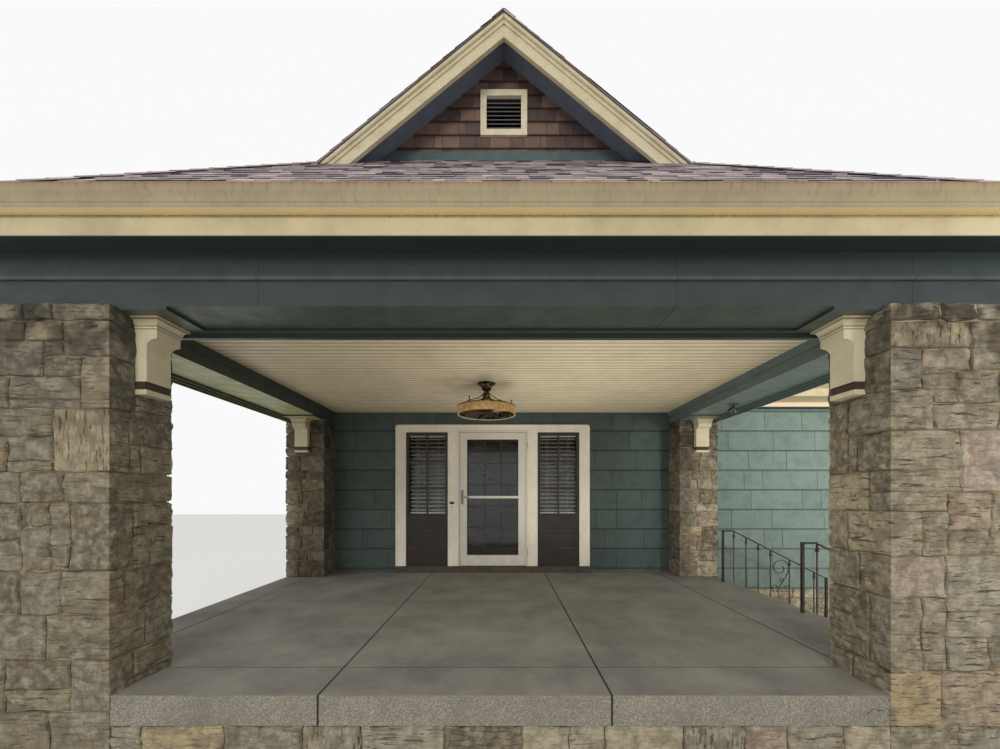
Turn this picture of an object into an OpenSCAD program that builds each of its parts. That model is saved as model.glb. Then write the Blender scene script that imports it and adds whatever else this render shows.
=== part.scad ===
// Front porch of a house, with the house wall it stands against.
// Four stone piers carry boxed beams, a boarded ceiling and a hipped roof with a front gable.
// X runs to the right, Y back towards the house and Z up. X is 0 on the porch's centre line,
// Y is 0 at the front of the floor and Z is 0 at the lowest ground.

/* [Porch] */
// Distance from the centre line to the outer face of a pier
half_width = 3080; // [2560:10:3700]
// Depth of the floor, from its front edge to the house wall
porch_depth = 3800; // [3160:10:4600]
// Height of the floor above the lowest ground
floor_height = 700; // [560:10:860]
// Height of the ceiling above the floor
ceiling_height = 2438; // [2380:1:2950]
// Length of house wall built on past the porch's right side
wing_length = 2100; // [1750:10:2600]

/* [Masonry] */
// Thickness of the concrete floor
slab_thickness = 175; // [140:5:210]
// Thickness of the foundation walls
foundation_thickness = 300; // [240:10:360]
// Width of a front pier
front_pier_width = 830; // [690:10:1000]
// Depth of a front pier
front_pier_depth = 424; // [350:1:510]
// Width of a rear pier
rear_pier_width = 530; // [440:10:640]
// Distance that a rear pier stands out from the house wall
rear_pier_depth = 376; // [310:1:450]

/* [House wall] */
// Thickness of the house wall
wall_thickness = 190; // [180:5:230]
// Distance that the wing's shingles run down below the floor
wing_siding_drop = 260; // [210:10:310]

/* [Side stair] */
// Width of the steps
stair_width = 1500; // [1250:10:1800]
// Distance from a rear pier's front face to the steps
stair_gap = 304; // [260:1:360]
// Number of risers from the ground to the floor
riser_count = 4; // [3:1:5]
// Depth of one tread
tread_depth = 343; // [290:1:410]
// Height of the handrail above the floor
rail_height = 698; // [600:1:840]
// Distance between two balusters
baluster_pitch = 165; // [140:1:200]
// Width of the scrolled panel in a railing
scroll_panel_width = 255; // [240:1:300]

/* [Beams] */
// Distance from the pier's outer face back to the beam's face
beam_setback = 45; // [30:1:60]
// Height of the beam's underside above the floor
beam_height = 2263; // [2000:1:2330]
// Depth of the front beam, front to back
front_beam_depth = 374; // [320:1:450]
// Width of a side beam
side_beam_width = 480; // [400:5:560]
// Height of the beam's lower board
lower_board = 150; // [125:1:180]
// Height of the eave's underside above the floor
eave_height = 2580; // [2500:1:3100]

/* [Corbels] */
// Height of a corbel
corbel_height = 468; // [400:1:540]
// Width of a corbel's body
corbel_width = 180; // [150:1:215]
// Distance that a corbel's body stands out
corbel_reach = 72; // [60:1:86]
// Distance that a corbel's cap stands out
cap_reach = 173; // [150:1:205]
// Distance from the floor's front edge to the middle of a front corbel
corbel_distance = 250; // [205:1:250]
// Distance from a pier's outer face to the middle of a side corbel
corbel_inset = 240; // [200:5:290]

/* [Roof] */
// Rise of the main roof for each unit of run
roof_pitch = 0.93; // [0.77:0.005:1.1]
// Thickness of a roof slope, measured upright
roof_thickness = 120; // [100:5:140]
// Distance from the beam's face out to the fascia's face
eave_reach = 139; // [116:1:166]
// Distance from the wing's wall out to its fascia's face
wing_eave_reach = 428; // [360:1:510]

/* [Gable] */
// Distance from the floor's front edge to the raking boards
rake_distance = 1257; // [1050:1:1400]
// Place of the gable's middle, from the porch's centre line
gable_centre = 25; // [-100:5:100]
// Distance from the raking boards back to the gable's wall
gable_recess = 320; // [260:1:380]
// Half the gable's width where its roof meets the main roof
gable_half_width = 1687; // [1450:1:1950]
// Rise of the gable's roof for each unit of run
gable_pitch = 0.82; // [0.7:0.01:0.96]
// Depth of a raking board, measured upright
rake_depth = 234; // [200:1:280]
// Width of the vent's opening
vent_width = 334; // [280:1:400]
// Height of the vent's opening
vent_height = 322; // [270:1:390]

/* [Entrance] */
// Place of the entrance's centre, from the porch's centre line
door_centre = -140; // [-200:10:0]
// Width of a door leaf
leaf_width = 1000; // [830:1:1060]
// Height of a door leaf
leaf_height = 2020; // [1700:10:2040]
// Width of a sidelight
sidelight_width = 638; // [540:1:700]
// Width of the mullion between the door and a sidelight
mullion_width = 177; // [150:1:210]
// Height of the threshold above the floor
threshold_height = 94; // [78:1:112]

/* [Ceiling fan] */
// Place of the fan's axis, from the porch's centre line
fan_x = -170; // [-300:10:300]
// Distance from the floor's front edge to the fan's axis
fan_distance = 2240; // [1900:10:2400]
// Outer diameter of the fan's drum
drum_diameter = 656; // [560:2:760]
// Height of the fan's drum
drum_height = 98; // [94:1:118]
// Number of fan blades
blade_count = 5; // [3:1:6]

/* [Hidden] */
$fn = 48;

// Finishes
stone_tone = "#8f877a";
concrete_tone = "#8d8b84";
cream_paint = "#e3d3ac";
green_paint = "#2c3a33";
shingle_green = "#5b7069";
roof_brown = "#5d5352";
cedar_brown = "#6a4f3f";
door_brown = "#33271f";
white_paint = "#e6e4da";
glass_tone = "#9fb3bd";
iron_black = "#26262a";
bronze_tone = "#3b322b";
drum_tan = "#c79d62";

// Heights and planes that several pieces share
slab_bottom = floor_height - slab_thickness;
ceiling_z = floor_height + ceiling_height;
beam_z = floor_height + beam_height;
eave_z = floor_height + eave_height;
face_x = half_width - beam_setback;
face_y = beam_setback;
back_y = porch_depth + wall_thickness;
wing_end = half_width + wing_length;
front_pier_inner = half_width - front_pier_width;
rear_pier_inner = half_width - rear_pier_width;
rear_pier_front = porch_depth - rear_pier_depth;
siding_z = floor_height - wing_siding_drop;
stair_start = rear_pier_front - stair_gap - stair_width;

// Eaves: boards, gutter and the roof's drip edge
board = 22;
soffit_board = 18;
drip = 22;
fascia_drop = 5;
fascia_lap = 10;
lower_fascia = 102;
plate_width = 90;
plate_z = eave_z + soffit_board;
frieze_height = 65;
gutter_wall = 3;
gutter_rise = 120;
gutter_bottom = 60;
gutter_depth = 84;
gutter_height = 119;
gutter_back = 25;
gutter_lip = 12;

// The main roof's edge and ridge
roof_x = face_x + eave_reach + drip;
roof_y = face_y - eave_reach - drip;
roof_z = eave_z + 253;
ridge_y = roof_y + roof_x;
wing_roof_y = porch_depth - wing_eave_reach - drip;
valley_x = roof_x - (back_y - wing_roof_y);
// Room that the cutting shapes reach past the roof's edge
margin = 400;
sky = roof_z + roof_pitch * (back_y - roof_y) + 1000;

// The gable
rake_thickness = 40;
crown_height = 98;
crown_depth = 20;
verge_thickness = 28;
verge_reach = 38;
gable_roof_thickness = 110;
gable_soffit = 18;
gable_wall_thickness = 120;
skirt_height = 66;
gable_wall_y = rake_distance + gable_recess;
gable_apex = roof_top(rake_distance) + gable_pitch * gable_half_width;
vent_z = roof_top(gable_wall_y) + 441;
vent_border = 58;
vent_lining = 12;
slat_count = 8;

// The entrance, about its own centre
door_gap = 5;
casing = 25;
casing_width = 155;
frame_lap = 20;
storm_thickness = 35;
inner_thickness = 45;
door_half = leaf_width / 2 + door_gap;
light_start = door_half + mullion_width;
light_end = light_start + sidelight_width;
rough_half = light_end + frame_lap;
casing_half = light_end + casing_width;
sill_z = floor_height + threshold_height;
leaf_z = sill_z + door_gap + 1;
door_top = leaf_z + leaf_height + door_gap + 1;
light_top = door_top + 3;
rough_top = door_top + 34;
casing_top = door_top + 116;
casing_y = porch_depth - casing;
storm_y = casing_y + door_gap;
inner_y = porch_depth + 80;
inner_back = inner_y + inner_thickness;
rebate_y = inner_back + door_gap;
rebate_half = door_half + 35;

// Hinges: radii of the pin, the bore and the barrel, and their place beside the leaf
hinge_pin = 3;
hinge_bore = 3.3;
hinge_barrel = 7;
hinge_length = 80;
hinge_leaf = 36;
hinge_x = door_centre + leaf_width / 2 + door_gap / 2;
hinge_clear = 8;
storm_hinge_y = casing_y - hinge_clear;
inner_hinge_y = rebate_y + hinge_clear;

// Height of the main roof's front slope above a place on the floor
function roof_top(y) = roof_z + roof_pitch * (y - roof_y);
// Underside of a slope at a distance out from the wall or beam that carries it
function roof_under(reach, out) = roof_z - roof_thickness + roof_pitch * (reach + drip - out);
// Points of a quarter-round hollow from one corner to another
function cove(from, to, steps) = [
    for (i = [0:steps])
        [to[0] + (from[0] - to[0]) * (1 - sin(90 * i / steps)),
         from[1] + (to[1] - from[1]) * (1 - cos(90 * i / steps))]
];
// Points of an S-curve from one corner to another, upright at both ends
function ogee(from, to, steps) = [
    for (i = [0:steps])
        [from[0] + (to[0] - from[0]) * (1 - cos(180 * i / steps)) / 2,
         from[1] + (to[1] - from[1]) * i / steps]
];
function reversed(points) = [for (i = [len(points) - 1:-1:0]) points[i]];

// Box between two corners
module block(low, high) {
    translate(low)
        cube(high - low);
}

// Outline in Y and Z, run along X
module run_x(points, x0, x1) {
    translate([x0, 0, 0])
        rotate([90, 0, 90])
            linear_extrude(x1 - x0)
                polygon(points);
}

// Outline in X and Z, run along Y
module run_y(points, y0, y1) {
    translate([0, y1, 0])
        rotate([90, 0, 0])
            linear_extrude(y1 - y0)
                polygon(points);
}

// Outline in X and Y, raised from one height to another
module raise(points, z0, z1) {
    translate([0, 0, z0])
        linear_extrude(z1 - z0)
            polygon(points);
}

// Makes the left or the right one of a pair: side is -1 or 1
module on_side(side) {
    if (side < 0)
        mirror([1, 0, 0])
            children();
    else
        children();
}

// Plan of each slope, out past its eave, so that slopes and eaves are mitred at hips and valley
module plan(name) {
    out_x = roof_x + margin;
    out_y = roof_y - margin;
    if (name == "front")
        raise([[0, ridge_y], [-out_x, out_y], [out_x, out_y]], -margin, sky);
    if (name == "left")
        raise([[0, ridge_y], [0, back_y], [-out_x, back_y], [-out_x, out_y]], -margin, sky);
    if (name == "right")
        raise([[0, ridge_y], [out_x, out_y], [out_x, wing_roof_y - margin],
               [valley_x, back_y], [0, back_y]], -margin, sky);
    if (name == "wing")
        raise([[out_x, wing_roof_y - margin], [wing_end, wing_roof_y - margin],
               [wing_end, back_y], [valley_x, back_y]], -margin, sky);
}

// Everything under the hipped roof's top surface, lowered by drop
module under_main_roof(drop) {
    top = roof_z - drop;
    intersection() {
        run_y([[-roof_x, 0], [roof_x, 0], [roof_x, top],
               [0, top + roof_pitch * roof_x], [-roof_x, top]], roof_y, back_y);
        run_x([[roof_y, 0], [back_y, 0], [back_y, top + roof_pitch * (back_y - roof_y)],
               [roof_y, top]], -roof_x, roof_x);
    }
}

// Everything under the wing's roof, lowered by drop
module under_wing_roof(drop) {
    top = roof_z - drop;
    run_x([[wing_roof_y, 0], [back_y, 0], [back_y, top + roof_pitch * (back_y - wing_roof_y)],
           [wing_roof_y, top]], valley_x, wing_end);
}

// One slope of the main roof
module main_slope(name) {
    intersection() {
        difference() {
            under_main_roof(0);
            under_main_roof(roof_thickness);
        }
        plan(name);
    }
}

// Triangle under the gable's roof, lowered by drop
module under_gable(drop, y0, y1) {
    half = gable_half_width + 60;
    foot = gable_apex - drop - gable_pitch * half;
    run_y([[-half, foot], [half, foot], [0, gable_apex - drop]], y0, y1);
}

// Outline run along one side of the building; out is measured from the beam or wall
module run_along(name, points) {
    intersection() {
        if (name == "front")
            run_x([for (p = points) [face_y - p[0], p[1]]], -roof_x - margin, roof_x + margin);
        else if (name == "left")
            run_y([for (p = points) [-face_x - p[0], p[1]]], roof_y - margin, back_y);
        else if (name == "right")
            run_y([for (p = points) [face_x + p[0], p[1]]], roof_y - margin, back_y);
        else
            run_x([for (p = points) [porch_depth - p[0], p[1]]], face_x, wing_end);
        plan(name);
    }
}

// Soffit board, fascia and gutter of one side
module eave(name, reach) {
    inner = reach - board;
    low = eave_z - fascia_drop;
    proud = reach + fascia_lap;
    gutter_z = eave_z + gutter_rise;
    top = gutter_z + gutter_height;
    foot = reach + gutter_bottom;
    lip = reach + gutter_depth;
    g = gutter_wall;
    run_along(name, [[0, eave_z], [inner, eave_z], [inner, plate_z], [0, plate_z]]);
    // Upper board, and a lower board that stands proud of it over a small bead
    run_along(name, [[inner, low], [proud - 1, low], [proud + 3, low + 4], [proud + 3, low + 9],
                     [proud, low + 13], [proud, eave_z + lower_fascia - 4],
                     [reach, eave_z + lower_fascia], [reach, roof_under(reach, reach)],
                     [inner, roof_under(reach, inner)]]);
    // Gutter: low back, flat bottom, an upright strip, then an ogee up to a turned-in lip
    run_along(name, concat(
        [[reach, gutter_z], [foot, gutter_z], [foot, gutter_z + 26]],
        ogee([foot + 4, gutter_z + 30], [lip, gutter_z + 100], 8),
        [[lip, top], [lip - gutter_lip, top], [lip - gutter_lip, top - g], [lip - g, top - g]],
        reversed(ogee([foot + 4 - g, gutter_z + 31], [lip - g, gutter_z + 100], 8)),
        [[foot - g, gutter_z + 27], [foot - g, gutter_z + g], [reach + g, gutter_z + g],
         [reach + g, gutter_z + gutter_back], [reach, gutter_z + gutter_back]]
    ));
}

// Small shelf moulding along the top of a beam's lower board
ledge_points = [
    [0, beam_z + lower_board], [13, beam_z + lower_board], [25, beam_z + lower_board + 12],
    [25, beam_z + lower_board + 25], [0, beam_z + lower_board + 25]
];
// Plate on the beam that carries the roof's underside
plate_points = [
    [-plate_width, plate_z], [0, plate_z], [0, roof_under(eave_reach, 0)],
    [-plate_width, roof_under(eave_reach, -plate_width)]
];
bearing_board = 20;
bearing_length = 290;
corbel_top = beam_z - bearing_board;
// Two strips along the rear edge of the front beam's underside, and how far each hangs down
strip_depth = 71;
inner_strip_depth = 34;
inner_strip_drop = 53;
// Crown moulding under the ceiling, along a side beam's inner face
ceiling_crown_height = 75;
ceiling_crown_depth = 30;

// Foundation and floor

module foundation_walls() {
    color(stone_tone) {
        block([-front_pier_inner, 0, 0], [front_pier_inner, foundation_thickness, slab_bottom]);
        for (side = [-1, 1])
            on_side(side)
                block([half_width - foundation_thickness, front_pier_depth, 0],
                      [half_width, porch_depth, slab_bottom]);
    }
}

module foundation_rear() {
    color(stone_tone)
        run_y([[-face_x, 0], [wing_end, 0], [wing_end, siding_z], [face_x, siding_z],
               [face_x, floor_height], [-face_x, floor_height]], porch_depth, back_y);
}

module floor_slab() {
    inner = front_pier_inner;
    depth = front_pier_depth;
    color(concrete_tone)
        raise([[-inner, 0], [inner, 0], [inner, depth], [half_width, depth],
               [half_width, porch_depth], [-half_width, porch_depth],
               [-half_width, depth], [-inner, depth]], slab_bottom, floor_height);
}

module side_steps() {
    riser = floor_height / riser_count;
    treads = riser_count - 1;
    outline = [
        for (i = [0:treads - 1])
            for (end = [0, 1])
                [half_width + (i + end) * tread_depth, floor_height - (i + 1) * riser]
    ];
    color(concrete_tone)
        run_y(concat([[half_width, 0]], outline, [[half_width + treads * tread_depth, 0]]),
              stair_start, stair_start + stair_width);
}

// Piers and corbels

module front_pier(side) {
    color(stone_tone)
        on_side(side)
            block([front_pier_inner, 0, 0], [half_width, front_pier_depth, beam_z]);
}

module rear_pier(side) {
    color(stone_tone)
        on_side(side)
            block([rear_pier_inner, rear_pier_front, floor_height],
                  [half_width, porch_depth, beam_z]);
}

// Edge of a corbel's cap, from its top down: base is the block's face, out the cap's overhang
cap_height = 69;
function cap_edge(base, out) = concat(
    [[base + out, 0], [base + out, -12]],
    cove([base + out - 4, -12], [base + 9, -46], 6),
    [[base + 9, -50], [base + 5, -50], [base + 5, -62], [base, -cap_height]]
);

// Corbel that stands out along +X from a wall at x = 0, with its top at z = 0
module corbel() {
    throat = 123;
    shoulder = 169;
    band = corbel_height - 79;
    foot = corbel_height - 33;
    cap_out = 37;
    cap_side = 40;
    block_reach = cap_reach - cap_out;
    half = corbel_width / 2;
    body = concat(
        [[0, -cap_height], [block_reach, -cap_height]],
        cove([block_reach, -throat], [corbel_reach, -shoulder], 8),
        [[corbel_reach, -band], [corbel_reach - 10, -band], [corbel_reach - 10, -foot],
         [corbel_reach, -foot], [corbel_reach, -corbel_height], [0, -corbel_height]]
    );
    edge = cap_edge(half, cap_side);
    run_y(body, -half, half);
    // The cap's moulding returns along its three free sides
    intersection() {
        run_y(concat([[0, 0]], cap_edge(block_reach, cap_out), [[0, -cap_height]]),
              -half - cap_side, half + cap_side);
        run_x(concat(edge, reversed([for (p = edge) [-p[0], p[1]]])), 0, cap_reach);
    }
}

module corbels_front() {
    color(cream_paint)
        for (side = [-1, 1])
            on_side(side)
                translate([front_pier_inner, corbel_distance, corbel_top])
                    rotate([0, 0, 180])
                        corbel();
}

module corbels_side() {
    centre = half_width - corbel_inset;
    color(cream_paint)
        for (side = [-1, 1])
            on_side(side) {
                translate([centre, rear_pier_front, corbel_top])
                    rotate([0, 0, -90])
                        corbel();
                translate([centre, front_pier_depth, corbel_top])
                    rotate([0, 0, 90])
                        corbel();
            }
}

// Beams and ceiling

module front_beam() {
    rear = face_y + front_beam_depth;
    color(green_paint) {
        block([-face_x, face_y, beam_z], [face_x, rear, plate_z]);
        run_along("front", ledge_points);
        run_along("front", plate_points);
        for (name = ["left", "right"])
            intersection() {
                run_along(name, ledge_points);
                block([-roof_x, face_y - margin, beam_z], [roof_x, rear, plate_z]);
            }
        for (side = [-1, 1])
            on_side(side)
                block([front_pier_inner - bearing_length, face_y, corbel_top],
                      [front_pier_inner, rear, beam_z]);
        block([-front_pier_inner, rear - strip_depth, corbel_top], [front_pier_inner, rear, beam_z]);
        block([-front_pier_inner, rear - inner_strip_depth, beam_z - inner_strip_drop],
              [front_pier_inner, rear, corbel_top]);
    }
}

// Grooved trim under the outer edge of a side beam, between the piers
track_points = [
    [-60, 0], [-60, -25], [-46, -25], [-46, -15], [-38, -15], [-38, -45], [-24, -45],
    [-24, -30], [-16, -30], [-16, -65], [0, -65], [0, 0]
];

module side_beam(side) {
    name = side < 0 ? "left" : "right";
    front = face_y + front_beam_depth;
    inner = face_x - side_beam_width;
    crown = ceiling_z - ceiling_crown_height;
    color(green_paint) {
        on_side(side) {
            block([inner, front, beam_z], [face_x, porch_depth, plate_z]);
            run_y(concat([[inner, crown], [inner - 8, crown], [inner - 8, crown + 15]],
                         ogee([inner - 8, crown + 15], [inner - ceiling_crown_depth, crown + 60], 6),
                         [[inner - ceiling_crown_depth, ceiling_z], [inner, ceiling_z]]),
                  front, porch_depth);
            run_y([for (p = track_points) [face_x + p[0], beam_z + p[1]]],
                  front_pier_depth, rear_pier_front);
            for (y = [front_pier_depth, rear_pier_front - bearing_length])
                block([max(inner, rear_pier_inner), y, corbel_top],
                      [face_x - 60, y + bearing_length, beam_z]);
        }
        intersection() {
            union() {
                run_along(name, ledge_points);
                run_along(name, plate_points);
            }
            block([-roof_x, front, 0], [roof_x, porch_depth, sky]);
        }
    }
}

module porch_ceiling() {
    inner = face_x - side_beam_width;
    color(cream_paint)
        block([-inner, face_y + front_beam_depth, ceiling_z], [inner, porch_depth, ceiling_z + 20]);
}

// House wall

module house_walls() {
    color(shingle_green) {
        block([-face_x, porch_depth, floor_height],
              [door_centre - rough_half, back_y, ceiling_z]);
        block([door_centre + rough_half, porch_depth, floor_height],
              [face_x, back_y, ceiling_z]);
    }
}

module wall_over_door() {
    color(shingle_green)
        block([door_centre - rough_half, porch_depth, rough_top],
              [door_centre + rough_half, back_y, ceiling_z]);
}

module wing_wall() {
    color(shingle_green)
        intersection() {
            block([face_x, porch_depth, siding_z], [wing_end, back_y, sky]);
            under_wing_roof(roof_thickness);
        }
    color(cream_paint)
        block([face_x, porch_depth - 20, eave_z - frieze_height], [wing_end, porch_depth, eave_z]);
}

module attic_wall() {
    color(shingle_green)
        intersection() {
            block([-face_x, porch_depth, ceiling_z], [face_x, back_y, sky]);
            union() {
                under_main_roof(roof_thickness);
                under_wing_roof(roof_thickness);
            }
        }
}

// Entrance

// The two knuckles and the pin that stay on the frame; plate runs from the pin to the frame
module frame_hinge(y, plate_low, plate_high) {
    half = hinge_length / 2;
    knuckle = 15;
    for (z = [-half, knuckle])
        translate([hinge_x, y, z]) {
            cylinder(r = hinge_barrel, h = half - knuckle);
            block([0, plate_low, 0], [hinge_leaf, plate_high, half - knuckle]);
        }
    translate([hinge_x, y, -half])
        cylinder(r = hinge_pin, h = hinge_length);
}

// The middle knuckle, on the leaf
module leaf_hinge(y, plate_low, plate_high) {
    half = 14.5;
    difference() {
        union() {
            translate([hinge_x, y, -half])
                cylinder(r = hinge_barrel, h = 2 * half);
            block([hinge_x - hinge_leaf, y + plate_low, -half],
                  [hinge_x - hinge_bore - 1, y + plate_high, half]);
        }
        translate([hinge_x, y, -half - 1])
            cylinder(r = hinge_bore, h = 2 * half + 2);
    }
}

hinge_heights = [leaf_z + 200, leaf_z + leaf_height / 2, leaf_z + leaf_height - 200];

module door_frame() {
    color(cream_paint)
        difference() {
            union() {
                translate([door_centre, 0, 0]) {
                    block([-rough_half, porch_depth, sill_z], [rough_half, back_y, rough_top]);
                    block([-casing_half, casing_y, sill_z], [casing_half, porch_depth, casing_top]);
                }
                for (z = hinge_heights) {
                    translate([0, 0, z])
                        frame_hinge(storm_hinge_y, 0, hinge_clear + 1);
                    translate([0, 0, z])
                        frame_hinge(inner_hinge_y, -hinge_clear - 1, 0);
                }
            }
            translate([door_centre, 0, 0]) {
                difference() {
                    union() {
                        block([-door_half, casing_y - 1, sill_z - 1], [door_half, back_y + 1, door_top]);
                        block([-rebate_half, rebate_y, sill_z - 1],
                              [rebate_half, back_y + 1, door_top + 20]);
                    }
                    translate([-door_centre, 0, 0])
                        for (z = hinge_heights)
                            translate([0, 0, z])
                                frame_hinge(inner_hinge_y, -hinge_clear - 1, 0);
                }
                for (side = [-1, 1])
                    on_side(side)
                        block([light_start, casing_y - 1, sill_z - 1],
                              [light_end, back_y + 1, light_top]);
            }
        }
}

module threshold() {
    color(door_brown)
        translate([door_centre, 0, 0]) {
            block([-casing_half - 15, porch_depth - 60, floor_height],
                  [casing_half + 15, porch_depth, sill_z]);
            block([-rough_half, porch_depth, floor_height], [rough_half, back_y, sill_z]);
        }
}

storm_stile = 109;
storm_rail_low = 159;
storm_rail_high = 101;
storm_mid_z = leaf_z + 1040;
storm_mid = 36;
glass_thickness = 5;

module storm_openings(y0, y1) {
    half = leaf_width / 2 - storm_stile;
    block([-half, y0, leaf_z + storm_rail_low], [half, y1, storm_mid_z - storm_mid / 2]);
    block([-half, y0, storm_mid_z + storm_mid / 2],
          [half, y1, leaf_z + leaf_height - storm_rail_high]);
}

module storm_door() {
    rear = storm_y + storm_thickness;
    lever_x = door_centre - leaf_width / 2 + 38;
    lever_z = storm_mid_z;
    color(white_paint) {
        difference() {
            union() {
                translate([door_centre - leaf_width / 2, storm_y, leaf_z])
                    cube([leaf_width, storm_thickness, leaf_height]);
                for (z = hinge_heights)
                    translate([0, 0, z])
                        leaf_hinge(storm_hinge_y, 0, hinge_clear + door_gap);
            }
            translate([door_centre, 0, 0])
                storm_openings(storm_y - 1, rear + 1);
        }
        // Lever handle on its long plate
        translate([lever_x, storm_y, lever_z]) {
            block([-18, -6, -110], [18, 0, 110]);
            rotate([90, 0, 0])
                cylinder(r = 9, h = 48);
            block([-9, -56, -9], [108, -42, 9]);
        }
    }
}

module storm_door_glass() {
    middle = storm_y + storm_thickness / 2;
    color(glass_tone)
        translate([door_centre, 0, 0])
            storm_openings(middle - glass_thickness / 2, middle + glass_thickness / 2);
}

inner_stile = 115;
inner_rail_low = 240;
inner_rail_high = 120;

module inner_opening(y0, y1) {
    half = leaf_width / 2 - inner_stile;
    block([-half, y0, leaf_z + inner_rail_low],
          [half, y1, leaf_z + leaf_height - inner_rail_high]);
}

module inner_door() {
    knob_x = door_centre - leaf_width / 2 + 60;
    color(door_brown) {
        difference() {
            union() {
                translate([door_centre - leaf_width / 2, inner_y, leaf_z])
                    cube([leaf_width, inner_thickness, leaf_height]);
                for (z = hinge_heights)
                    translate([0, 0, z])
                        leaf_hinge(inner_hinge_y, -hinge_clear - door_gap, 0);
            }
            translate([door_centre, 0, 0])
                inner_opening(inner_y - 1, inner_back + 1);
        }
        for (side = [[inner_y, 90], [inner_back, -90]])
            translate([knob_x, side[0], leaf_z + 940])
                rotate([side[1], 0, 0]) {
                    cylinder(r = 10, h = 30);
                    translate([0, 0, 28])
                        cylinder(r = 26, h = 22);
                }
    }
}

module inner_door_glass() {
    color(glass_tone)
        translate([door_centre, 0, 0])
            inner_opening(inner_y + 20, inner_y + 20 + glass_thickness);
}

light_depth = 50;
light_stile = 42;
light_sill = 784;

module sidelight_opening(y0, y1) {
    block([light_start + light_stile, y0, sill_z + light_sill],
          [light_end - light_stile, y1, light_top - light_stile]);
}

module sidelights() {
    color(door_brown)
        translate([door_centre, 0, 0])
            for (side = [-1, 1])
                on_side(side)
                    difference() {
                        block([light_start, porch_depth, sill_z],
                              [light_end, porch_depth + light_depth, light_top]);
                        sidelight_opening(porch_depth - 1, porch_depth + light_depth + 1);
                        for (z = [sill_z + 290, sill_z + 555])
                            block([light_start + light_stile, porch_depth - 1, z - 5],
                                  [light_end - light_stile, porch_depth + 8, z + 5]);
                    }
}

module sidelight_glass() {
    color(glass_tone)
        translate([door_centre, 0, 0])
            for (side = [-1, 1])
                on_side(side)
                    sidelight_opening(porch_depth + 22, porch_depth + 22 + glass_thickness);
}

// Main roof and eaves

module roof_wing() {
    color(roof_brown)
        intersection() {
            difference() {
                under_wing_roof(0);
                under_wing_roof(roof_thickness);
            }
            plan("wing");
        }
}

// Gable

module gable_wall() {
    opening = vent_width / 2 + vent_lining;
    color(cedar_brown)
        difference() {
            translate([gable_centre, 0, 0])
                difference() {
                    under_gable(gable_roof_thickness, gable_wall_y, gable_wall_y + gable_wall_thickness);
                    block([-opening, gable_wall_y - 1, vent_z - vent_height / 2 - vent_lining],
                          [opening, gable_wall_y + gable_wall_thickness + 1,
                           vent_z + vent_height / 2 + vent_lining]);
                }
            under_main_roof(0);
        }
}

// One side of the gable's roof: a slab, and a thin verge that runs out over the raking boards
module gable_roof(side) {
    half = gable_half_width + 60;
    top = gable_apex;
    low = top - gable_pitch * half;
    color(roof_brown)
        difference() {
            translate([gable_centre, 0, 0])
                on_side(side)
                    for (layer = [[gable_roof_thickness, rake_distance + rake_thickness],
                                  [verge_thickness, rake_distance - verge_reach]])
                        run_y([[0, top], [half, low], [half, low - layer[0]], [0, top - layer[0]]],
                              layer[1], back_y);
            under_main_roof(0);
        }
}

// One V along the gable's slopes, between two depths measured upright from the roof's top
module rake_strip(drop, depth, y0, y1) {
    difference() {
        translate([gable_centre, 0, 0])
            difference() {
                under_gable(drop, y0, y1);
                under_gable(depth, y0 - 1, y1 + 1);
            }
        under_main_roof(0);
    }
}

module rake_boards() {
    color(cream_paint) {
        rake_strip(verge_thickness, rake_depth, rake_distance, rake_distance + rake_thickness);
        rake_strip(verge_thickness, crown_height, rake_distance - crown_depth, rake_distance);
    }
}

module gable_vent() {
    outer_x = vent_width / 2 + vent_border;
    outer_z = vent_height / 2 + vent_border;
    lined_x = vent_width / 2 + vent_lining;
    lined_z = vent_height / 2 + vent_lining;
    pitch = vent_height / slat_count;
    color(cream_paint)
        translate([gable_centre, gable_wall_y, vent_z]) {
            difference() {
                union() {
                    block([-outer_x, -30, -outer_z], [outer_x, 0, outer_z]);
                    block([-lined_x, 0, -lined_z], [lined_x, 90, lined_z]);
                }
                block([-vent_width / 2, -31, -vent_height / 2],
                      [vent_width / 2, 91, vent_height / 2]);
            }
            for (i = [0:slat_count - 1])
                translate([0, 35, -vent_height / 2 + pitch * (i + 0.5)])
                    rotate([38, 0, 0])
                        cube([vent_width + vent_lining, 66, 8], center = true);
        }
}

// Board along the foot of the gable's wall, and the boards under the gable's overhang
module gable_skirt() {
    front = gable_wall_y - 25;
    half = gable_half_width;
    color(green_paint) {
        difference() {
            translate([gable_centre, 0, 0])
                intersection() {
                    block([-half, front, roof_top(front) - 50],
                          [half, gable_wall_y, roof_top(gable_wall_y) + skirt_height]);
                    under_gable(gable_roof_thickness, front, gable_wall_y);
                }
            under_main_roof(0);
        }
        rake_strip(gable_roof_thickness, gable_roof_thickness + gable_soffit,
                   rake_distance + rake_thickness, gable_wall_y);
    }
}

// Side stair railings

post = 25;
rail_inset = 35;
rail_bar = 20;
baluster = 14;
collar = 24;
collar_height = 30;
plain_end = 55;
twist_pitch = 170;
rope_pitch = 96;
scroll_bar = 12;
scroll_thickness = 7;
first_bay = 145;
rail_start = half_width - 100;
slope_angle = atan(floor_height / riser_count / tread_depth);
bend_x = rail_start + first_bay;
panel_start = bend_x + 3 * baluster_pitch;
panel_end = panel_start + scroll_panel_width;
rail_end = panel_end + 3 * baluster_pitch;

// Height of the handrail's underside at a place along it
function rail_z(x) = floor_height + rail_height - rail_bar
    - max(0, x - bend_x) * tan(slope_angle);
// Height of the floor, tread or ground under a place along the railing
function ground_z(x) = x < half_width ? floor_height
    : max(0, floor_height - (1 + floor((x - half_width) / tread_depth)) * floor_height / riser_count);

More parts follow.
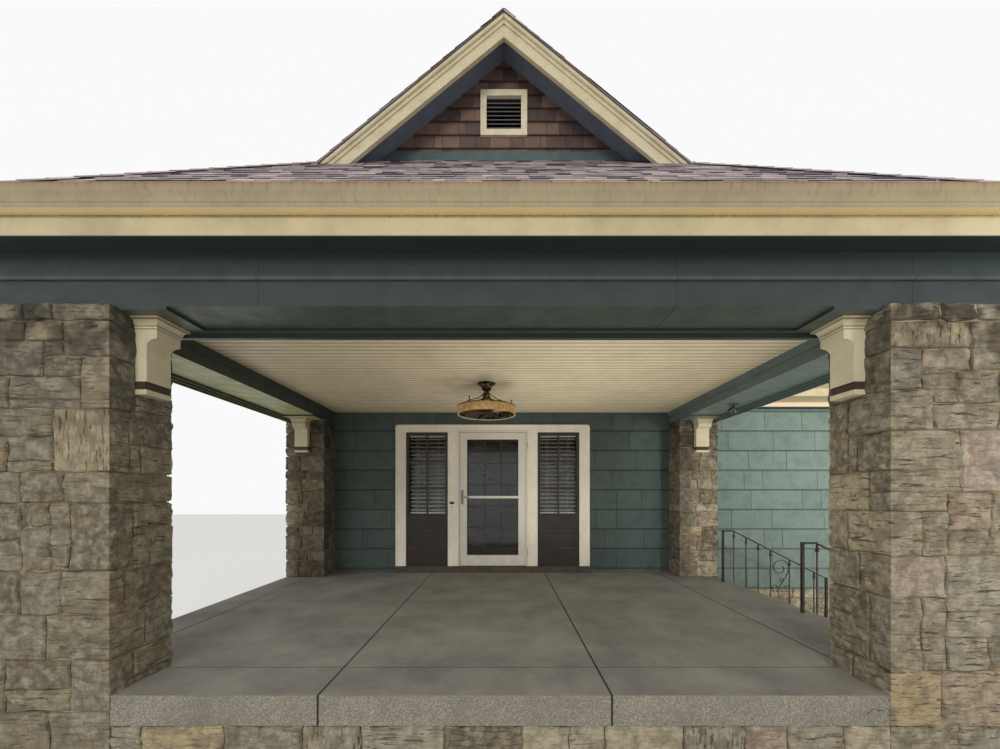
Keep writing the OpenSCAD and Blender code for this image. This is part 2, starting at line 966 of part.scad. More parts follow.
// Points of a scroll about a middle, from its outer end at angle a0 in to its eye at a1
function scroll(middle, radius, eye, a0, a1, steps) = [
    for (i = [0:steps])
        let (a = a0 + (a1 - a0) * i / steps, r = radius * (1 - (1 - eye) * pow(i / steps, 1.5)))
            middle + r * [cos(a), sin(a)]
];
// Direction of a line of points at one of them, turned a quarter left
function left_of(points, i) =
    let (a = points[max(0, i - 1)], b = points[min(len(points) - 1, i + 1)])
        [a[1] - b[1], b[0] - a[0]] / norm(b - a);

// Flat bar on edge that follows a line of points in X and Z
module flat_bar(points) {
    half = scroll_thickness / 2;
    count = len(points) - 1;
    run_y(concat([for (i = [0:count]) points[i] + half * left_of(points, i)],
                 [for (i = [count:-1:0]) points[i] - half * left_of(points, i)]),
          -scroll_bar / 2, scroll_bar / 2);
}

// Square bar twisted between two plain ends, with a collar under its top
module twisted_baluster(x) {
    low = ground_z(x);
    high = rail_z(x) + rail_bar / 3;
    length = high - low - 2 * plain_end;
    turns = round(2 * length / twist_pitch) / 2;
    translate([x, 0, low]) {
        translate([-baluster / 2, -baluster / 2, 0])
            cube([baluster, baluster, plain_end + 0.01]);
        translate([0, 0, plain_end])
            linear_extrude(length, twist = 360 * turns, slices = 12 * turns, $fn = 4)
                square(baluster, center = true);
        translate([-baluster / 2, -baluster / 2, plain_end + length - 0.01])
            cube([baluster, baluster, plain_end + 0.01]);
        for (z = [plain_end - collar_height / 2, plain_end + length - collar_height])
            translate([-collar / 2, -collar / 2, z])
                cube([collar, collar, collar_height]);
    }
}

// Scrolled panel: a large scroll under the handrail, whose tail runs down to a small one
module scroll_panel() {
    touch = (baluster + scroll_thickness) / 2 - 2;
    big = 0.45 * scroll_panel_width;
    small = 0.46 * big;
    eye = [panel_end - touch - big, rail_z(panel_end) - 0.93 * big];
    foot = [panel_start + touch + small, eye[1] - 2.3 * big];
    tail = eye + big * [cos(-25), sin(-25)];
    landing = foot + [small, 0];
    line = [for (i = [1:8])
        let (t = i / 9)
            tail + (landing - tail) * t + [0.16 * big * sin(180 * t) * (1 - t), 0]];
    flat_bar(concat(reversed(scroll(eye, big, 0.26, -25, 420, 44)), line,
                    scroll(foot, small, 0.3, 0, -420, 26)));
    // Short scrolls that branch off the tail and off the far baluster
    flat_bar(scroll(line[4] - [0.5 * small, 0], 0.5 * small, 0.4, 0, 320, 18));
    flat_bar(scroll([panel_end - touch - 0.6 * small, foot[1]], 0.6 * small, 0.4, 0, 340, 18));
    flat_bar([[panel_start, foot[1] - 0.93 * small], [panel_end, foot[1] - 0.93 * small]]);
    // Collars that tie the scrolls to the balusters
    for (p = [[panel_end - touch, eye[1]], [panel_start + touch, foot[1]]])
        translate([p[0], 0, p[1]])
            cube([collar, baluster + 2, 18], center = true);
}

module railing() {
    length = (rail_end - bend_x) / cos(slope_angle) + post / 2;
    rope_turns = round(2 * length / rope_pitch) / 2;
    for (x = [rail_start, rail_end])
        block([x - post / 2, -post / 2, ground_z(x)], [x + post / 2, post / 2, rail_z(x) + rail_bar]);
    block([rail_start, -rail_bar / 2, rail_z(bend_x)],
          [bend_x + 6, rail_bar / 2, rail_z(bend_x) + rail_bar]);
    translate([bend_x, 0, rail_z(bend_x) + rail_bar / 2])
        rotate([0, 90 + slope_angle, 0])
            linear_extrude(length, twist = 360 * rope_turns, slices = 12 * rope_turns, $fn = 4)
                square(rail_bar, center = true);
    for (x = [for (i = [0:3]) bend_x + i * baluster_pitch, for (i = [0:2]) panel_end + i * baluster_pitch])
        twisted_baluster(x);
    scroll_panel();
}

module stair_railings() {
    color(iron_black)
        for (y = [stair_start + rail_inset, stair_start + stair_width - rail_inset])
            translate([0, y, 0])
                railing();
}

// Ceiling fan, measured down from the ceiling

drum_drop = 368;
drum_wall = 6;
motor_top = 195;
motor_bottom = 300;
motor_radius = 96;
shaft = 12;
shaft_clear = 0.3;
strap = 18;
strap_thickness = 8;
// Directions of the three straps, seen from below
strap_angles = [-128, -8, 112];

module at_fan() {
    translate([fan_x, fan_distance, ceiling_z])
        children();
}

module fan_mount() {
    rim = drum_diameter / 2;
    drum_top = drum_drop - drum_height;
    // Line of a strap from the neck out to the drum's rim
    line = [[20, -104], [34, -112], [58, -136], [92, -164], [132, -187], [183, -208], [240, -226],
            [rim - 42, -drum_top + 26], [rim - 12, -drum_top + 10], [rim, -drum_top + strap_thickness]];
    color(bronze_tone)
        at_fan() {
            rotate_extrude()
                polygon([[0, 0], [98, 0], [104, -6], [104, -12], [88, -22], [68, -34], [57, -52],
                         [54, -62], [53, -78], [42, -86], [30, -92], [28, -104], [34, -130],
                         [45, -165], [58, -188], [motor_radius - 6, -motor_top],
                         [motor_radius, -motor_top - 6], [motor_radius, -motor_bottom],
                         [shaft + shaft_clear, -motor_bottom],
                         [shaft + shaft_clear, -motor_bottom + 40], [0, -motor_bottom + 40]]);
            for (a = strap_angles)
                rotate([0, 0, a]) {
                    run_y(concat(line, [[rim, -drum_top], [rim - 16, -drum_top]],
                                 reversed([for (i = [0:8]) line[i] - [2, strap_thickness]])),
                          -strap / 2, strap / 2);
                    // Knob over the strap's end
                    translate([rim - 42, 0, -drum_top + 20]) {
                        cylinder(r = 5, h = 34, $fn = 16);
                        translate([0, 0, 34])
                            cylinder(r1 = 11, r2 = 5, h = 14, $fn = 16);
                    }
                }
        }
}

module fan_drum() {
    rim = drum_diameter / 2;
    color(drum_tan)
        at_fan()
            translate([0, 0, -drum_drop])
                difference() {
                    cylinder(r = rim, h = drum_height, $fn = 96);
                    translate([0, 0, -1])
                        cylinder(r = rim - drum_wall, h = drum_height + 2, $fn = 96);
                }
}

module fan_rotor() {
    hub_top = motor_bottom + 6;
    reach = drum_diameter / 2 - 25;
    color(bronze_tone)
        at_fan() {
            translate([0, 0, -motor_bottom])
                cylinder(r = shaft, h = 38);
            translate([0, 0, -hub_top - 36])
                cylinder(r = 68, h = 36);
            translate([0, 0, -hub_top - 1])
                cylinder(r = shaft, h = 8);
            for (i = [0:blade_count - 1])
                rotate([0, 0, 360 / blade_count * i])
                    translate([60, 0, -hub_top - 18])
                        rotate([12, 0, 0])
                            linear_extrude(6, center = true)
                                polygon([[0, -24], [60, -52], [reach - 90, -58], [reach - 60, -40],
                                         [reach - 60, 40], [reach - 90, 58], [60, 52], [0, 24]]);
        }
}

// Twin floodlight under the right side beam, near the rear pier

module floodlight() {
    x = face_x - 235;
    y = rear_pier_front - 900;
    color(bronze_tone)
        translate([x, y, beam_z]) {
            translate([0, 0, -14])
                cylinder(r = 55, h = 14);
            translate([0, 0, -40])
                cylinder(r = 10, h = 27);
            for (side = [-1, 1])
                translate([side * 8, 0, -42])
                    rotate([50, 0, side * 30]) {
                        cylinder(r1 = 20, r2 = 12, h = 30, center = true);
                        translate([0, 0, -60])
                            cylinder(r1 = 42, r2 = 22, h = 60);
                    }
        }
}

foundation_walls();
foundation_rear();
floor_slab();
side_steps();
front_pier(-1);  // front_pier_left
front_pier(1);  // front_pier_right
rear_pier(-1);  // rear_pier_left
rear_pier(1);  // rear_pier_right
corbels_front();
corbels_side();
front_beam();
side_beam(-1);  // side_beam_left
side_beam(1);  // side_beam_right
porch_ceiling();
house_walls();
wall_over_door();
wing_wall();
attic_wall();
door_frame();
threshold();
storm_door();
storm_door_glass();
inner_door();
inner_door_glass();
sidelights();
sidelight_glass();
color(roof_brown) main_slope("front");  // roof_front
color(roof_brown) main_slope("left");  // roof_left
color(roof_brown) main_slope("right");  // roof_right
roof_wing();
color(cream_paint) eave("front", eave_reach);  // eave_front
color(cream_paint) eave("left", eave_reach);  // eave_left
color(cream_paint) eave("right", eave_reach);  // eave_right
color(cream_paint) eave("wing", wing_eave_reach);  // eave_wing
gable_wall();
gable_roof(-1);  // gable_roof_left
gable_roof(1);  // gable_roof_right
rake_boards();
gable_vent();
gable_skirt();
stair_railings();
fan_mount();
fan_drum();
fan_rotor();
floodlight();
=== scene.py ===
"""Looks of the front porch: stone, shingles, boards, glazing, ironwork and paint over the frame."""
import math
import random

import bpy
import numpy as np
from mathutils import Matrix, Vector


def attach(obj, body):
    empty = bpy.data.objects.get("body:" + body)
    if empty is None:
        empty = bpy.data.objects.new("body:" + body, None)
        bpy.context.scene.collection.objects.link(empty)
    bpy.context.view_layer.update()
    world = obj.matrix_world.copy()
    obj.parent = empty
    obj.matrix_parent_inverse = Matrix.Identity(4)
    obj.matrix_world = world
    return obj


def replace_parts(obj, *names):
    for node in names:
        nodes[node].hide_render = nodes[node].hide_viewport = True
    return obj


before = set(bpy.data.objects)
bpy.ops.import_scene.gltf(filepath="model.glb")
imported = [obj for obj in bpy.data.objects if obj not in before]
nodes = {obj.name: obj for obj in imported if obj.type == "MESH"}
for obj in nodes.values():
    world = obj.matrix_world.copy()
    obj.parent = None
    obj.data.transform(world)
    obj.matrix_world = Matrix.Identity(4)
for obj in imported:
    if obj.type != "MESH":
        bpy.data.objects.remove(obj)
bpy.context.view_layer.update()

# Places shared by the pieces, in metres
PIER_OUT = 3.08
PIER_IN = 2.25
PIER_DEEP = 0.424
REAR_IN = 2.55
REAR_FRONT = 3.424
WALL_Y = 3.8
BACK_Y = 3.99
FLOOR_Z = 0.7
SLAB_LOW = 0.525
BEAM_Z = 2.963
CEILING_Z = 3.138
DOOR_X = -0.14
STORM_Y = 3.776
FAN = (-0.17, 2.24)
HOUSE_LEFT = -3.035
WALL_HALF = 2.56
WING_END = 5.18
WING_BASE_Z = 0.44
WING_TOP_Z = 3.18
ROOF_X = 3.196
ROOF_Y = -0.116
ROOF_Z = 3.533
ROOF_PITCH = 0.93
RIDGE_Y = 3.08
RIDGE_Z = 6.504
WING_ROOF_Y = 3.35
GABLE_X = 0.025
GABLE_TOP = 6.1932
GABLE_PITCH = 0.82
GABLE_WALL_Y = 1.577
VERGE_Y = 1.219
RAKE_Y = 1.257
SKIRT_TOP_Z = 5.172
# The ceiling's first board starts here, and each is this wide
BOARDS_Y = 0.4645
BEADBOARD = 0.083
UP = (0, 0, 1)


# Materials

def linear(text):
    """An sRGB hex value as the linear colour that a socket takes."""
    parts = [int(text[i:i + 2], 16) / 255 for i in (1, 3, 5)]
    return [c / 12.92 if c <= 0.04045 else ((c + 0.055) / 1.055) ** 2.4 for c in parts] + [1]


def put(made, kind, inputs, out=0, stops=(), **settings):
    """Adds a node to a material: its kind, such as Math.ADD or Mix.RGBA, its settings, its ramp's
    stops, and for each input, in order or by name, a value, a hex colour or the output that feeds
    it. In order, a noise takes its place, W, scale, detail and roughness. Returns one output."""
    kind, _, mode = kind.partition(".")
    if mode:
        settings["data_type" if kind == "Mix" else "operation"] = mode
    new = made.node_tree.nodes.new("ShaderNode" + kind)
    for name, value in settings.items():
        setattr(new, name, value)
    for name, item in inputs.items() if isinstance(inputs, dict) else enumerate(inputs):
        if isinstance(item, bpy.types.NodeSocket):
            made.node_tree.links.new(item, new.inputs[name])
        else:
            new.inputs[name].default_value = linear(item) if isinstance(item, str) else item
    for number, (position, shade) in enumerate(stops):
        ramp = new.color_ramp.elements
        last = number == len(stops) - 1
        stop = ramp[0] if number == 0 else ramp[-1] if last else ramp.new(position)
        stop.position = position
        stop.color = linear(shade)
    return new.outputs[out]


def begin(name, roughness, metallic=0.0, **fixed):
    """A new material with the shader's fixed values; returns it and its Object coordinates."""
    made = bpy.data.materials.new(name)
    made.use_nodes = True
    shader = made.node_tree.nodes["Principled BSDF"]
    fixed.update(Roughness=roughness, Metallic=metallic)
    for socket, value in fixed.items():
        shader.inputs[socket.replace("_", " ")].default_value = value
    return made, put(made, "TexCoord", {}, "Object")


def lay(made, colour, *coats):
    """Lays coats over a colour. Each is a shade and a mask, or a shade, a pattern, the values between
    which it sets in, its full share or the shares at both values, and masks that thin it."""
    for shade, mask, *way in coats:
        if way:
            first, last, share, *thinners = way if len(way) > 2 else (*way, 1.0)
            shares = share if isinstance(share, tuple) else (0.0, share)
            mask = put(made, "MapRange", (mask, first, last, *shares))
            for thinner in thinners:
                mask = put(made, "Math.MULTIPLY", (mask, thinner))
        colour = put(made, "Mix.RGBA", {0: mask, 6: colour, 7: shade}, 2)
    return colour


def drawn_out(made, at, stretch, detail=3.0):
    """A pattern drawn out along one axis, as a brush, a saw or a mould leaves it."""
    lines = put(made, "Mapping", {"Vector": at, "Scale": stretch})
    return put(made, "TexNoise", (lines, 0, 1.0, detail))


def facing(made, axis):
    """How far a face looks along an axis."""
    return put(made, "SeparateXYZ", [put(made, "NewGeometry", {}, "True Normal")], axis)


def finished(made, colour, bumps, gloss=None):
    """Feeds the shader: its colour, bumps laid over each other, each a pattern and a depth in metres
    that is negative for a groove, and a roughness that follows a pattern."""
    sources = {"Base Color": colour}
    if gloss:
        sources["Roughness"] = put(made, "MapRange", gloss)
    for pattern, depth in bumps:
        below = {"Normal": sources["Normal"]} if "Normal" in sources else {}
        sources["Normal"] = put(made, "Bump", {"Height": pattern, "Distance": abs(depth), **below},
                                invert=depth < 0)
    shader = made.node_tree.nodes["Principled BSDF"]
    for socket, source in sources.items():
        made.node_tree.links.new(source, shader.inputs[socket])
    return made


def split_sandstone():
    """Sandstone split with a chisel: matt, each block its own grey or tan, broken in steps and
    hollows along its bed, rusty in places and darker in patches towards the beam; painted shade
    darkens the left side and the rear piers."""
    made, at = begin("split_sandstone", 0.93)
    across, depth, height = [put(made, "SeparateXYZ", [at], axis) for axis in range(3)]
    tone = put(made, "Attribute", {}, "Fac", attribute_name="tone")
    base = put(made, "ValToRGB", [tone], stops=(
        (0.0, "#5c5344"), (0.12, "#766c57"), (0.25, "#91866c"), (0.4, "#a99d81"),
        (0.55, "#bdb092"), (0.7, "#c4b088"), (0.8, "#c4a273"), (0.88, "#a89382"),
        (1.0, "#a3a19b")))
    # Two further numbers for each block, from its tone
    grey = put(made, "Math.FRACT", [put(made, "Math.MULTIPLY", (tone, 193.7))])
    lot = put(made, "Math.FRACT", [put(made, "Math.MULTIPLY", (tone, 71.3))])
    # Beds 10 to 15 mm thick lie flat in most blocks and stand upright in every fifth
    upright = put(made, "Math.GREATER_THAN", (lot, 0.8))
    flat = put(made, "Mapping", {"Vector": at, "Scale": (7, 7, 62)})
    stood = put(made, "Mapping", {"Vector": at, "Scale": (55, 55, 7)})
    along = put(made, "Mix.VECTOR", {0: upright, 4: flat, 5: stood}, 1)
    beds = put(made, "TexNoise", {0: along, 2: 1.0, 3: 6.0, 4: 0.7, "Distortion": 0.7})
    bedded = put(made, "MapRange", (lot, 0.1, 0.5, 0.3, 1.0))
    cloud = put(made, "TexNoise", (at, 0, 20.0, 8.0, 0.72))
    # Chisel breaks about 80 mm across
    warp = put(made, "TexNoise", (at, 0, 14.0, 3.0), "Color")
    bent = put(made, "VectorMath.MULTIPLY_ADD", (warp, (0.12, 0.12, 0.12), at))
    breaks = put(made, "TexVoronoi", (bent, 0, 12.0), "Distance")
    grit = put(made, "TexNoise", (at, 0, 170.0, 3.0))
    patch = put(made, "TexNoise", (at, 3.0, 6.0, 6.0), noise_dimensions="4D")
    patchy = put(made, "MapRange", (patch, 0.4, 0.55, 0.15, 0.8))
    # Painted shade: the rear piers' inner parts, sheltered against the wall, are darkened
    inner_right = put(made, "MapRange", (across, 2.79, 2.67))
    inner_left = put(made, "MapRange", (across, -3.02, -2.92))
    colour = lay(made, base,
                 ("#a5a298", grey, 0.5, 0.95, 0.5), ("#d3c9ae", cloud, 0.42, 0.64, 0.6),
                 ("#453e33", breaks, 0.4, 0.75, 0.4), ("#3c3327", beds, 0.45, 0.39, 0.9, bedded),
                 ("#57503f", grit, 0.35, 0.65, 0.3), ("#9c6c3c", patch, 0.57, 0.7, 0.4),
                 # Painted shade darkens the left side, with a green tinge
                 ("#4a4634", across, -1.5, -2.6, 0.15),
                 ("#28231d", depth, 2.6, 2.9, 0.5, inner_right, inner_left),
                 # Darker towards the beam, in patches
                 ("#25211c", height, 2.1, 2.9, 1.0, patchy))
    steps = put(made, "Math.MULTIPLY", (beds, bedded))
    return finished(made, colour, [(cloud, 0.016), (steps, 0.024), (breaks, 0.018), (grit, 0.004)])


def lime_mortar():
    """Lime mortar raked back from the face: gritty, umber, blotched where it has been patched."""
    made, at = begin("raked_lime_mortar", 0.95)
    grit = put(made, "TexNoise", (at, 0, 120.0, 4.0))
    patch = put(made, "TexNoise", (at, 0, 5.0, 5.0))
    return finished(made, lay(made, "#65573f", ("#a3906d", patch, 0.38, 0.62)), [(grit, 0.004)])


def floated_concrete():
    """Floated concrete with sawn joints, stained by rain and darkened towards the house by painted
    shade; its front edge is washed to the aggregate, and has a crack near the right pier."""
    made, at = begin("floated_concrete", 0.85)
    across, depth, height = [put(made, "SeparateXYZ", [at], axis) for axis in range(3)]
    cloud = put(made, "TexNoise", (at, 0, 1.6, 9.0, 0.68))
    grit = put(made, "TexNoise", (at, 0, 190.0, 2.0))
    # Painted shade: it grows darker towards the house, away from its open edge
    top = lay(made, "#7a766f", ("#9c988d", cloud, 0.36, 0.64), ("#5b584f", grit, 0.35, 0.65, 0.3),
              ("#4a4940", depth, 0.2, 2.0, 0.12))
    # Pebbles 4 to 8 mm across
    pebble = put(made, "TexVoronoi", (at, 0, 150.0), "Color")
    gap = put(made, "TexVoronoi", (at, 0, 150.0), "Distance")
    washed = put(made, "ValToRGB", [pebble], stops=(
        (0.0, "#57534a"), (0.3, "#8a8577"), (0.6, "#9b9586"), (0.82, "#aea897"), (1.0, "#6c6557")))
    washed = lay(made, washed, ("#6f6b5f", gap, 0.25, 0.7, 0.75),
                 ("#625d51", cloud, 0.45, 0.62, 0.5))
    upright = put(made, "Math.LESS_THAN", (facing(made, 1), -0.5))
    # Panels 1.695 m square
    half = 1.695 / 2
    away = put(made, "Math.PINGPONG", (put(made, "Math.ADD", (across, 1.05)), half))
    sawn = put(made, "MapRange", (away, 0.004, 0.007, 1.0, 0.0))
    away = put(made, "Math.PINGPONG", (put(made, "Math.ADD", (depth, -2.08)), half))
    cross = put(made, "MapRange", (away, 0.003, 0.007, 0.55, 0.0))
    flat = put(made, "Math.SUBTRACT", (1.0, upright))
    cross = put(made, "Math.MULTIPLY", (cross, flat))
    sawn = put(made, "Math.MAXIMUM", (sawn, cross))
    # The crack runs from 2.11 to 2.25 m across, about 0.6 m up
    shake = put(made, "TexNoise", (at, 0, 16.0, 3.0))
    line = put(made, "Math.MULTIPLY_ADD", (shake, 0.2, height))
    line = put(made, "Math.COMPARE", (line, 0.705, 0.0025))
    close = put(made, "Math.COMPARE", (across, 2.18, 0.07))
    sawn = put(made, "Math.MAXIMUM", (sawn, put(made, "Math.MULTIPLY", (line, close))))
    colour = lay(made, top, (washed, upright), ("#25231f", sawn))
    return finished(made, colour, [(gap, 0.002), (grit, 0.001), (sawn, -0.006)])


def brushed_paint(name, shade, grime, wear=0.35, roughness=0.5, along=0, band=None, under=None,
                  joint_and_shade_lines=()):
    """Oil paint brushed on pine: soft sheen, faint brush lines along the board, grime in patches. A
    band along one axis may have its own paint, and the undersides up to a height a painted light;
    the last argument gives an axis, a colour and the places of joints, and of painted shade lines
    in a moulding's grooves."""
    made, at = begin(name, roughness)
    stretch = [140, 140, 140]
    stretch[along] = 9
    brush = drawn_out(made, at, stretch)
    patch = put(made, "TexNoise", (at, 0, 7.0, 8.0, 0.65))
    speck = put(made, "TexNoise", (at, 0, 60.0, 4.0))
    coats = [(grime, patch, 0.44, 0.7, wear), (grime, brush, 0.35, 0.7, 0.18),
             (grime, speck, 0.63, 0.7, wear)]
    # Painted light: undersides below a height get their own, lighter colour
    if under:
        underlight_colour, top = under
        below = put(made, "Math.LESS_THAN", (facing(made, 2), -0.7))
        low = put(made, "Math.LESS_THAN", (put(made, "SeparateXYZ", [at], 2), top))
        below = put(made, "Math.MULTIPLY", (below, low))
        coats.append((underlight_colour, patch, 0.35, 0.7, (1.0, 0.6), below))
    if band:
        axis, low, high, dark = band
        spot = put(made, "SeparateXYZ", [at], axis)
        coats.append((dark, put(made, "Math.COMPARE", (spot, (low + high) / 2, (high - low) / 2))))
    # Dark lines: joints, and painted shade in a moulding's grooves
    for line_at in joint_and_shade_lines[2:]:
        spot = put(made, "SeparateXYZ", [at], joint_and_shade_lines[0])
        coats.append((joint_and_shade_lines[1], put(made, "Math.COMPARE", (spot, line_at, 0.0022))))
    return finished(made, lay(made, shade, *coats), [(brush, 0.0008)],
                    (patch, 0.3, 0.7, roughness - 0.08, roughness + 0.15))


def beaded_ceiling():
    """Oil paint on beaded pine, with grooves one every 83 mm and a bead beside each: painted shade
    darkens each groove and a thin line by its bead.
    """
    made, at = begin("cream_oil_paint_on_beadboard", 0.5)
    brush = drawn_out(made, at, (8, 130, 130))
    patch = put(made, "TexNoise", (at, 0, 4.0, 7.0, 0.62))
    depth = put(made, "Math.ADD", (put(made, "SeparateXYZ", [at], 1), -BOARDS_Y))
    groove = put(made, "Math.PINGPONG", (depth, BEADBOARD / 2))
    # Painted shade in each groove, and a thin line of it beside each bead
    crease_shade = put(made, "MapRange", (groove, 0.004, 0.011, 0.6, 0.0))
    bead = put(made, "Math.COMPARE", (groove, 0.021, 0.0028))
    bead = put(made, "Math.MULTIPLY", (bead, 0.35))
    crease_shade = put(made, "Math.MAXIMUM", (crease_shade, bead))
    colour = lay(made, "#eadab8", ("#b8a47c", patch, 0.42, 0.72, 0.35),
                 ("#a08c66", brush, 0.35, 0.7, 0.2), ("#5d4e37", crease_shade))
    return finished(made, colour, [(brush, 0.0008)])


def eave_paint(name, soffit):
    """Painted fascia boards over a steel gutter: the enamel is stained brown along its edges, the
    fascia darkens in painted shade towards the gutter's foot, the gutter's underside has a painted
    light, and the soffit's boards have their own paint."""
    made, at = begin(name, 0.45)
    height = put(made, "SeparateXYZ", [at], 2)
    patch = put(made, "TexNoise", (at, 0, 3.0, 8.0, 0.65))
    streak = drawn_out(made, at, (55, 55, 5), 5.0)
    shaken = put(made, "MapRange", (streak, 0.3, 0.7, -0.007, 0.007))
    level = put(made, "MapRange", (put(made, "Math.ADD", (height, shaken)), 3.2, 3.56))
    # By height: the lower fascia board, a painted shade deepening towards the gutter's foot, then the
    # gutter's body and its stained top
    bands = put(made, "ValToRGB", [level], stops=(
        (0.0, "#b9ab88"), (0.49, "#b9ab88"), (0.52, "#bfae82"), (0.54, "#b3a277"),
        (0.555, "#8b7c58"), (0.575, "#96896c"), (0.68, "#998c6f"), (0.8, "#96886b"),
        (0.855, "#8d7850"), (0.9, "#6f5936")))
    metal = put(made, "MapRange", (height, 3.38, 3.42))
    # Painted light from below on the gutter's underside
    under = put(made, "Math.LESS_THAN", (facing(made, 2), -0.7))
    ledge = put(made, "Math.LESS_THAN", (height, 3.41))
    low = put(made, "Math.MULTIPLY", (under, put(made, "Math.LESS_THAN", (height, 3.29))))
    colour = lay(made, bands, ("#76654a", patch, 0.45, 0.75, 0.45),
                 ("#5a4a31", streak, 0.52, 0.75, 0.3, metal),
                 ("#e6d29e", height, 3.39, 3.395, 1.0, under, ledge), (soffit, low))
    return finished(made, colour, [(streak, 0.001)])


def grained_shingle(name, shades, grime, grain, depth, roughness, course):
    """Shingles with a sawn or moulded upright grain, each a little lighter or darker; painted shade
    darkens the butt of each course and a band under it."""
    made, at = begin(name, roughness)
    tone = put(made, "Attribute", {}, "Fac", attribute_name="tone")
    stops = [(i / (len(shades) - 1), shade) for i, shade in enumerate(shades)]
    base = put(made, "ValToRGB", [tone], stops=stops)
    grooves = drawn_out(made, at, (1 / grain, 1 / grain, 1 / (22 * grain)), 4.0)
    patch = put(made, "TexNoise", (at, 0, 6.0, 7.0, 0.62))
    # Painted shade under the butt of each course and on the butt's edge
    first, exposure = course
    height = put(made, "Math.ADD", (put(made, "SeparateXYZ", [at], 2), -first))
    height = put(made, "Math.FLOORED_MODULO", (height, exposure))
    crease_shade = put(made, "MapRange", (height, exposure - 0.03, exposure, 0.0, 0.9))
    edge = put(made, "MapRange", (height, 0.0, 0.008, 0.7, 0.0))
    crease_shade = put(made, "Math.MAXIMUM", (crease_shade, edge))
    colour = lay(made, base, (grime, grooves, 0.48, 0.3, 0.5), (grime, patch, 0.45, 0.72, 0.32),
                 (grime, crease_shade))
    return finished(made, colour, [(grooves, depth)])


def asphalt_shingle():
    """Asphalt roofing with mineral granules: matt, speckled purple, grey and tan, tab by tab."""
    made, at = begin("asphalt_shingle", 0.95)
    tone = put(made, "Attribute", {}, "Fac", attribute_name="tone")
    base = put(made, "ValToRGB", [tone], stops=(
        (0.0, "#83747a"), (0.3, "#a5979b"), (0.6, "#beafb0"), (0.85, "#d2c3bf"),
        (1.0, "#e0d2c8")))
    # Granules are about 1.5 mm across, drawn 5 mm so that they show
    grain = put(made, "TexVoronoi", (at, 0, 200.0), "Color")
    speck = put(made, "ValToRGB", [grain], stops=(
        (0.0, "#453c40"), (0.45, "#85777b"), (0.75, "#ac9d9c"), (1.0, "#bfae9a")))
    patch = put(made, "TexNoise", (at, 0, 2.5, 6.0))
    # The butts' upright faces are dark, as bare asphalt and as painted shade under each course; half
    # of them are covered by granules
    dark_butt_share = put(made, "Math.FRACT", [put(made, "Math.MULTIPLY", (tone, 37.3))])
    dark_butt_share = put(made, "MapRange", (dark_butt_share, 0.5, 0.6, 0.25, 0.95))
    colour = lay(made, base, (speck, 0.3), ("#584d50", patch, 0.45, 0.7, 0.4),
                 ("#2c2427", facing(made, 2), 0.35, 0.2, 1.0, dark_butt_share))
    return finished(made, colour, [(grain, 0.0012)])


def enamelled_aluminium():
    """Baked enamel on aluminium extrusion: smooth warm white, duller and dirtier near the floor."""
    made, at = begin("enamelled_aluminium", 0.35)
    patch = put(made, "TexNoise", (at, 0, 8.0, 6.0))
    low = put(made, "MapRange", (put(made, "SeparateXYZ", [at], 2), 0.75, 1.6, 0.35, 0.06))
    colour = lay(made, "#d3cdbf", ("#8f8b80", patch, 0.35, 0.7, 1.0, low))
    return finished(made, colour, [(patch, 0.0005)], (patch, 0.3, 0.7, 0.3, 0.5))


def float_glass():
    """Clear float glass: sharp reflections, a faint green cast and a few smears of dust. Its low
    alpha lets the light in to the blinds, as a thin pane does."""
    made, at = begin("float_glass", 0.02, IOR=1.5, Transmission_Weight=1.0, Alpha=0.32)
    smear = put(made, "TexNoise", (at, 0, 4.0, 4.0))
    colour = lay(made, "#eef3f0", ("#c4ccc6", smear, 0.4, 0.8, 0.4))
    return finished(made, colour, [(smear, 0.00003)], (smear, 0.5, 0.8, 0.01, 0.06))


def dark_glass_and_painted_room_shade():
    """Nearly black float glass with clear reflections; before the unlit room its black is painted
    shade.
    """
    made, at = begin("dark_glass_and_painted_room_shade", 0.03, IOR=1.52)
    room = put(made, "TexNoise", (at, 0, 2.5, 3.0))
    return finished(made, lay(made, "#0c0e10", ("#2a2722", room, 0.38, 0.66)), [(room, 0.0006)])


def wrought_iron():
    """Forged iron under old black paint: rust in patches, and pale along the upper edges with wear
    and a painted highlight.
    """
    made, at = begin("forged_iron_black_paint", 0.55)
    patch = put(made, "TexNoise", (at, 0, 18.0, 6.0))
    speck = put(made, "TexNoise", (at, 0, 90.0, 4.0))
    top = put(made, "SeparateXYZ", [put(made, "NewGeometry", {}, "Normal")], 2)
    # Pale upper faces: wear, and a painted highlight
    rubbed = put(made, "MapRange", (speck, 0.38, 0.58, 0.35, 1.0))
    colour = lay(made, "#1e1f21", ("#54402f", patch, 0.5, 0.64, 0.75),
                 ("#b5a68f", top, 0.0, 0.5, 1.0, rubbed))
    return finished(made, colour, [(speck, 0.0012)], (patch, 0.4, 0.7, 0.45, 0.85))


def brushed_nickel():
    """Brushed nickel plate: soft grey gloss, duller where hands have worn it."""
    made, at = begin("brushed_nickel", 0.35, 1.0)
    brush = drawn_out(made, at, (60, 60, 700))
    return finished(made, lay(made, "#6f6c66", ("#8f8b84", brush, 0.3, 0.7)), [(brush, 0.0003)],
                    (brush, 0.3, 0.7, 0.28, 0.45))


def rubbed_bronze():
    """Cast fitting in oil-rubbed bronze: nearly black, with green-brown patina on what stands out."""
    made, at = begin("oil_rubbed_bronze", 0.42, 0.85)
    patch = put(made, "TexNoise", (at, 0, 32.0, 6.0))
    speck = put(made, "TexNoise", (at, 0, 160.0, 3.0))
    return finished(made, lay(made, "#33261d", ("#8f8160", patch, 0.46, 0.62)), [(patch, 0.0014)],
                    (speck, 0.3, 0.7, 0.3, 0.6))


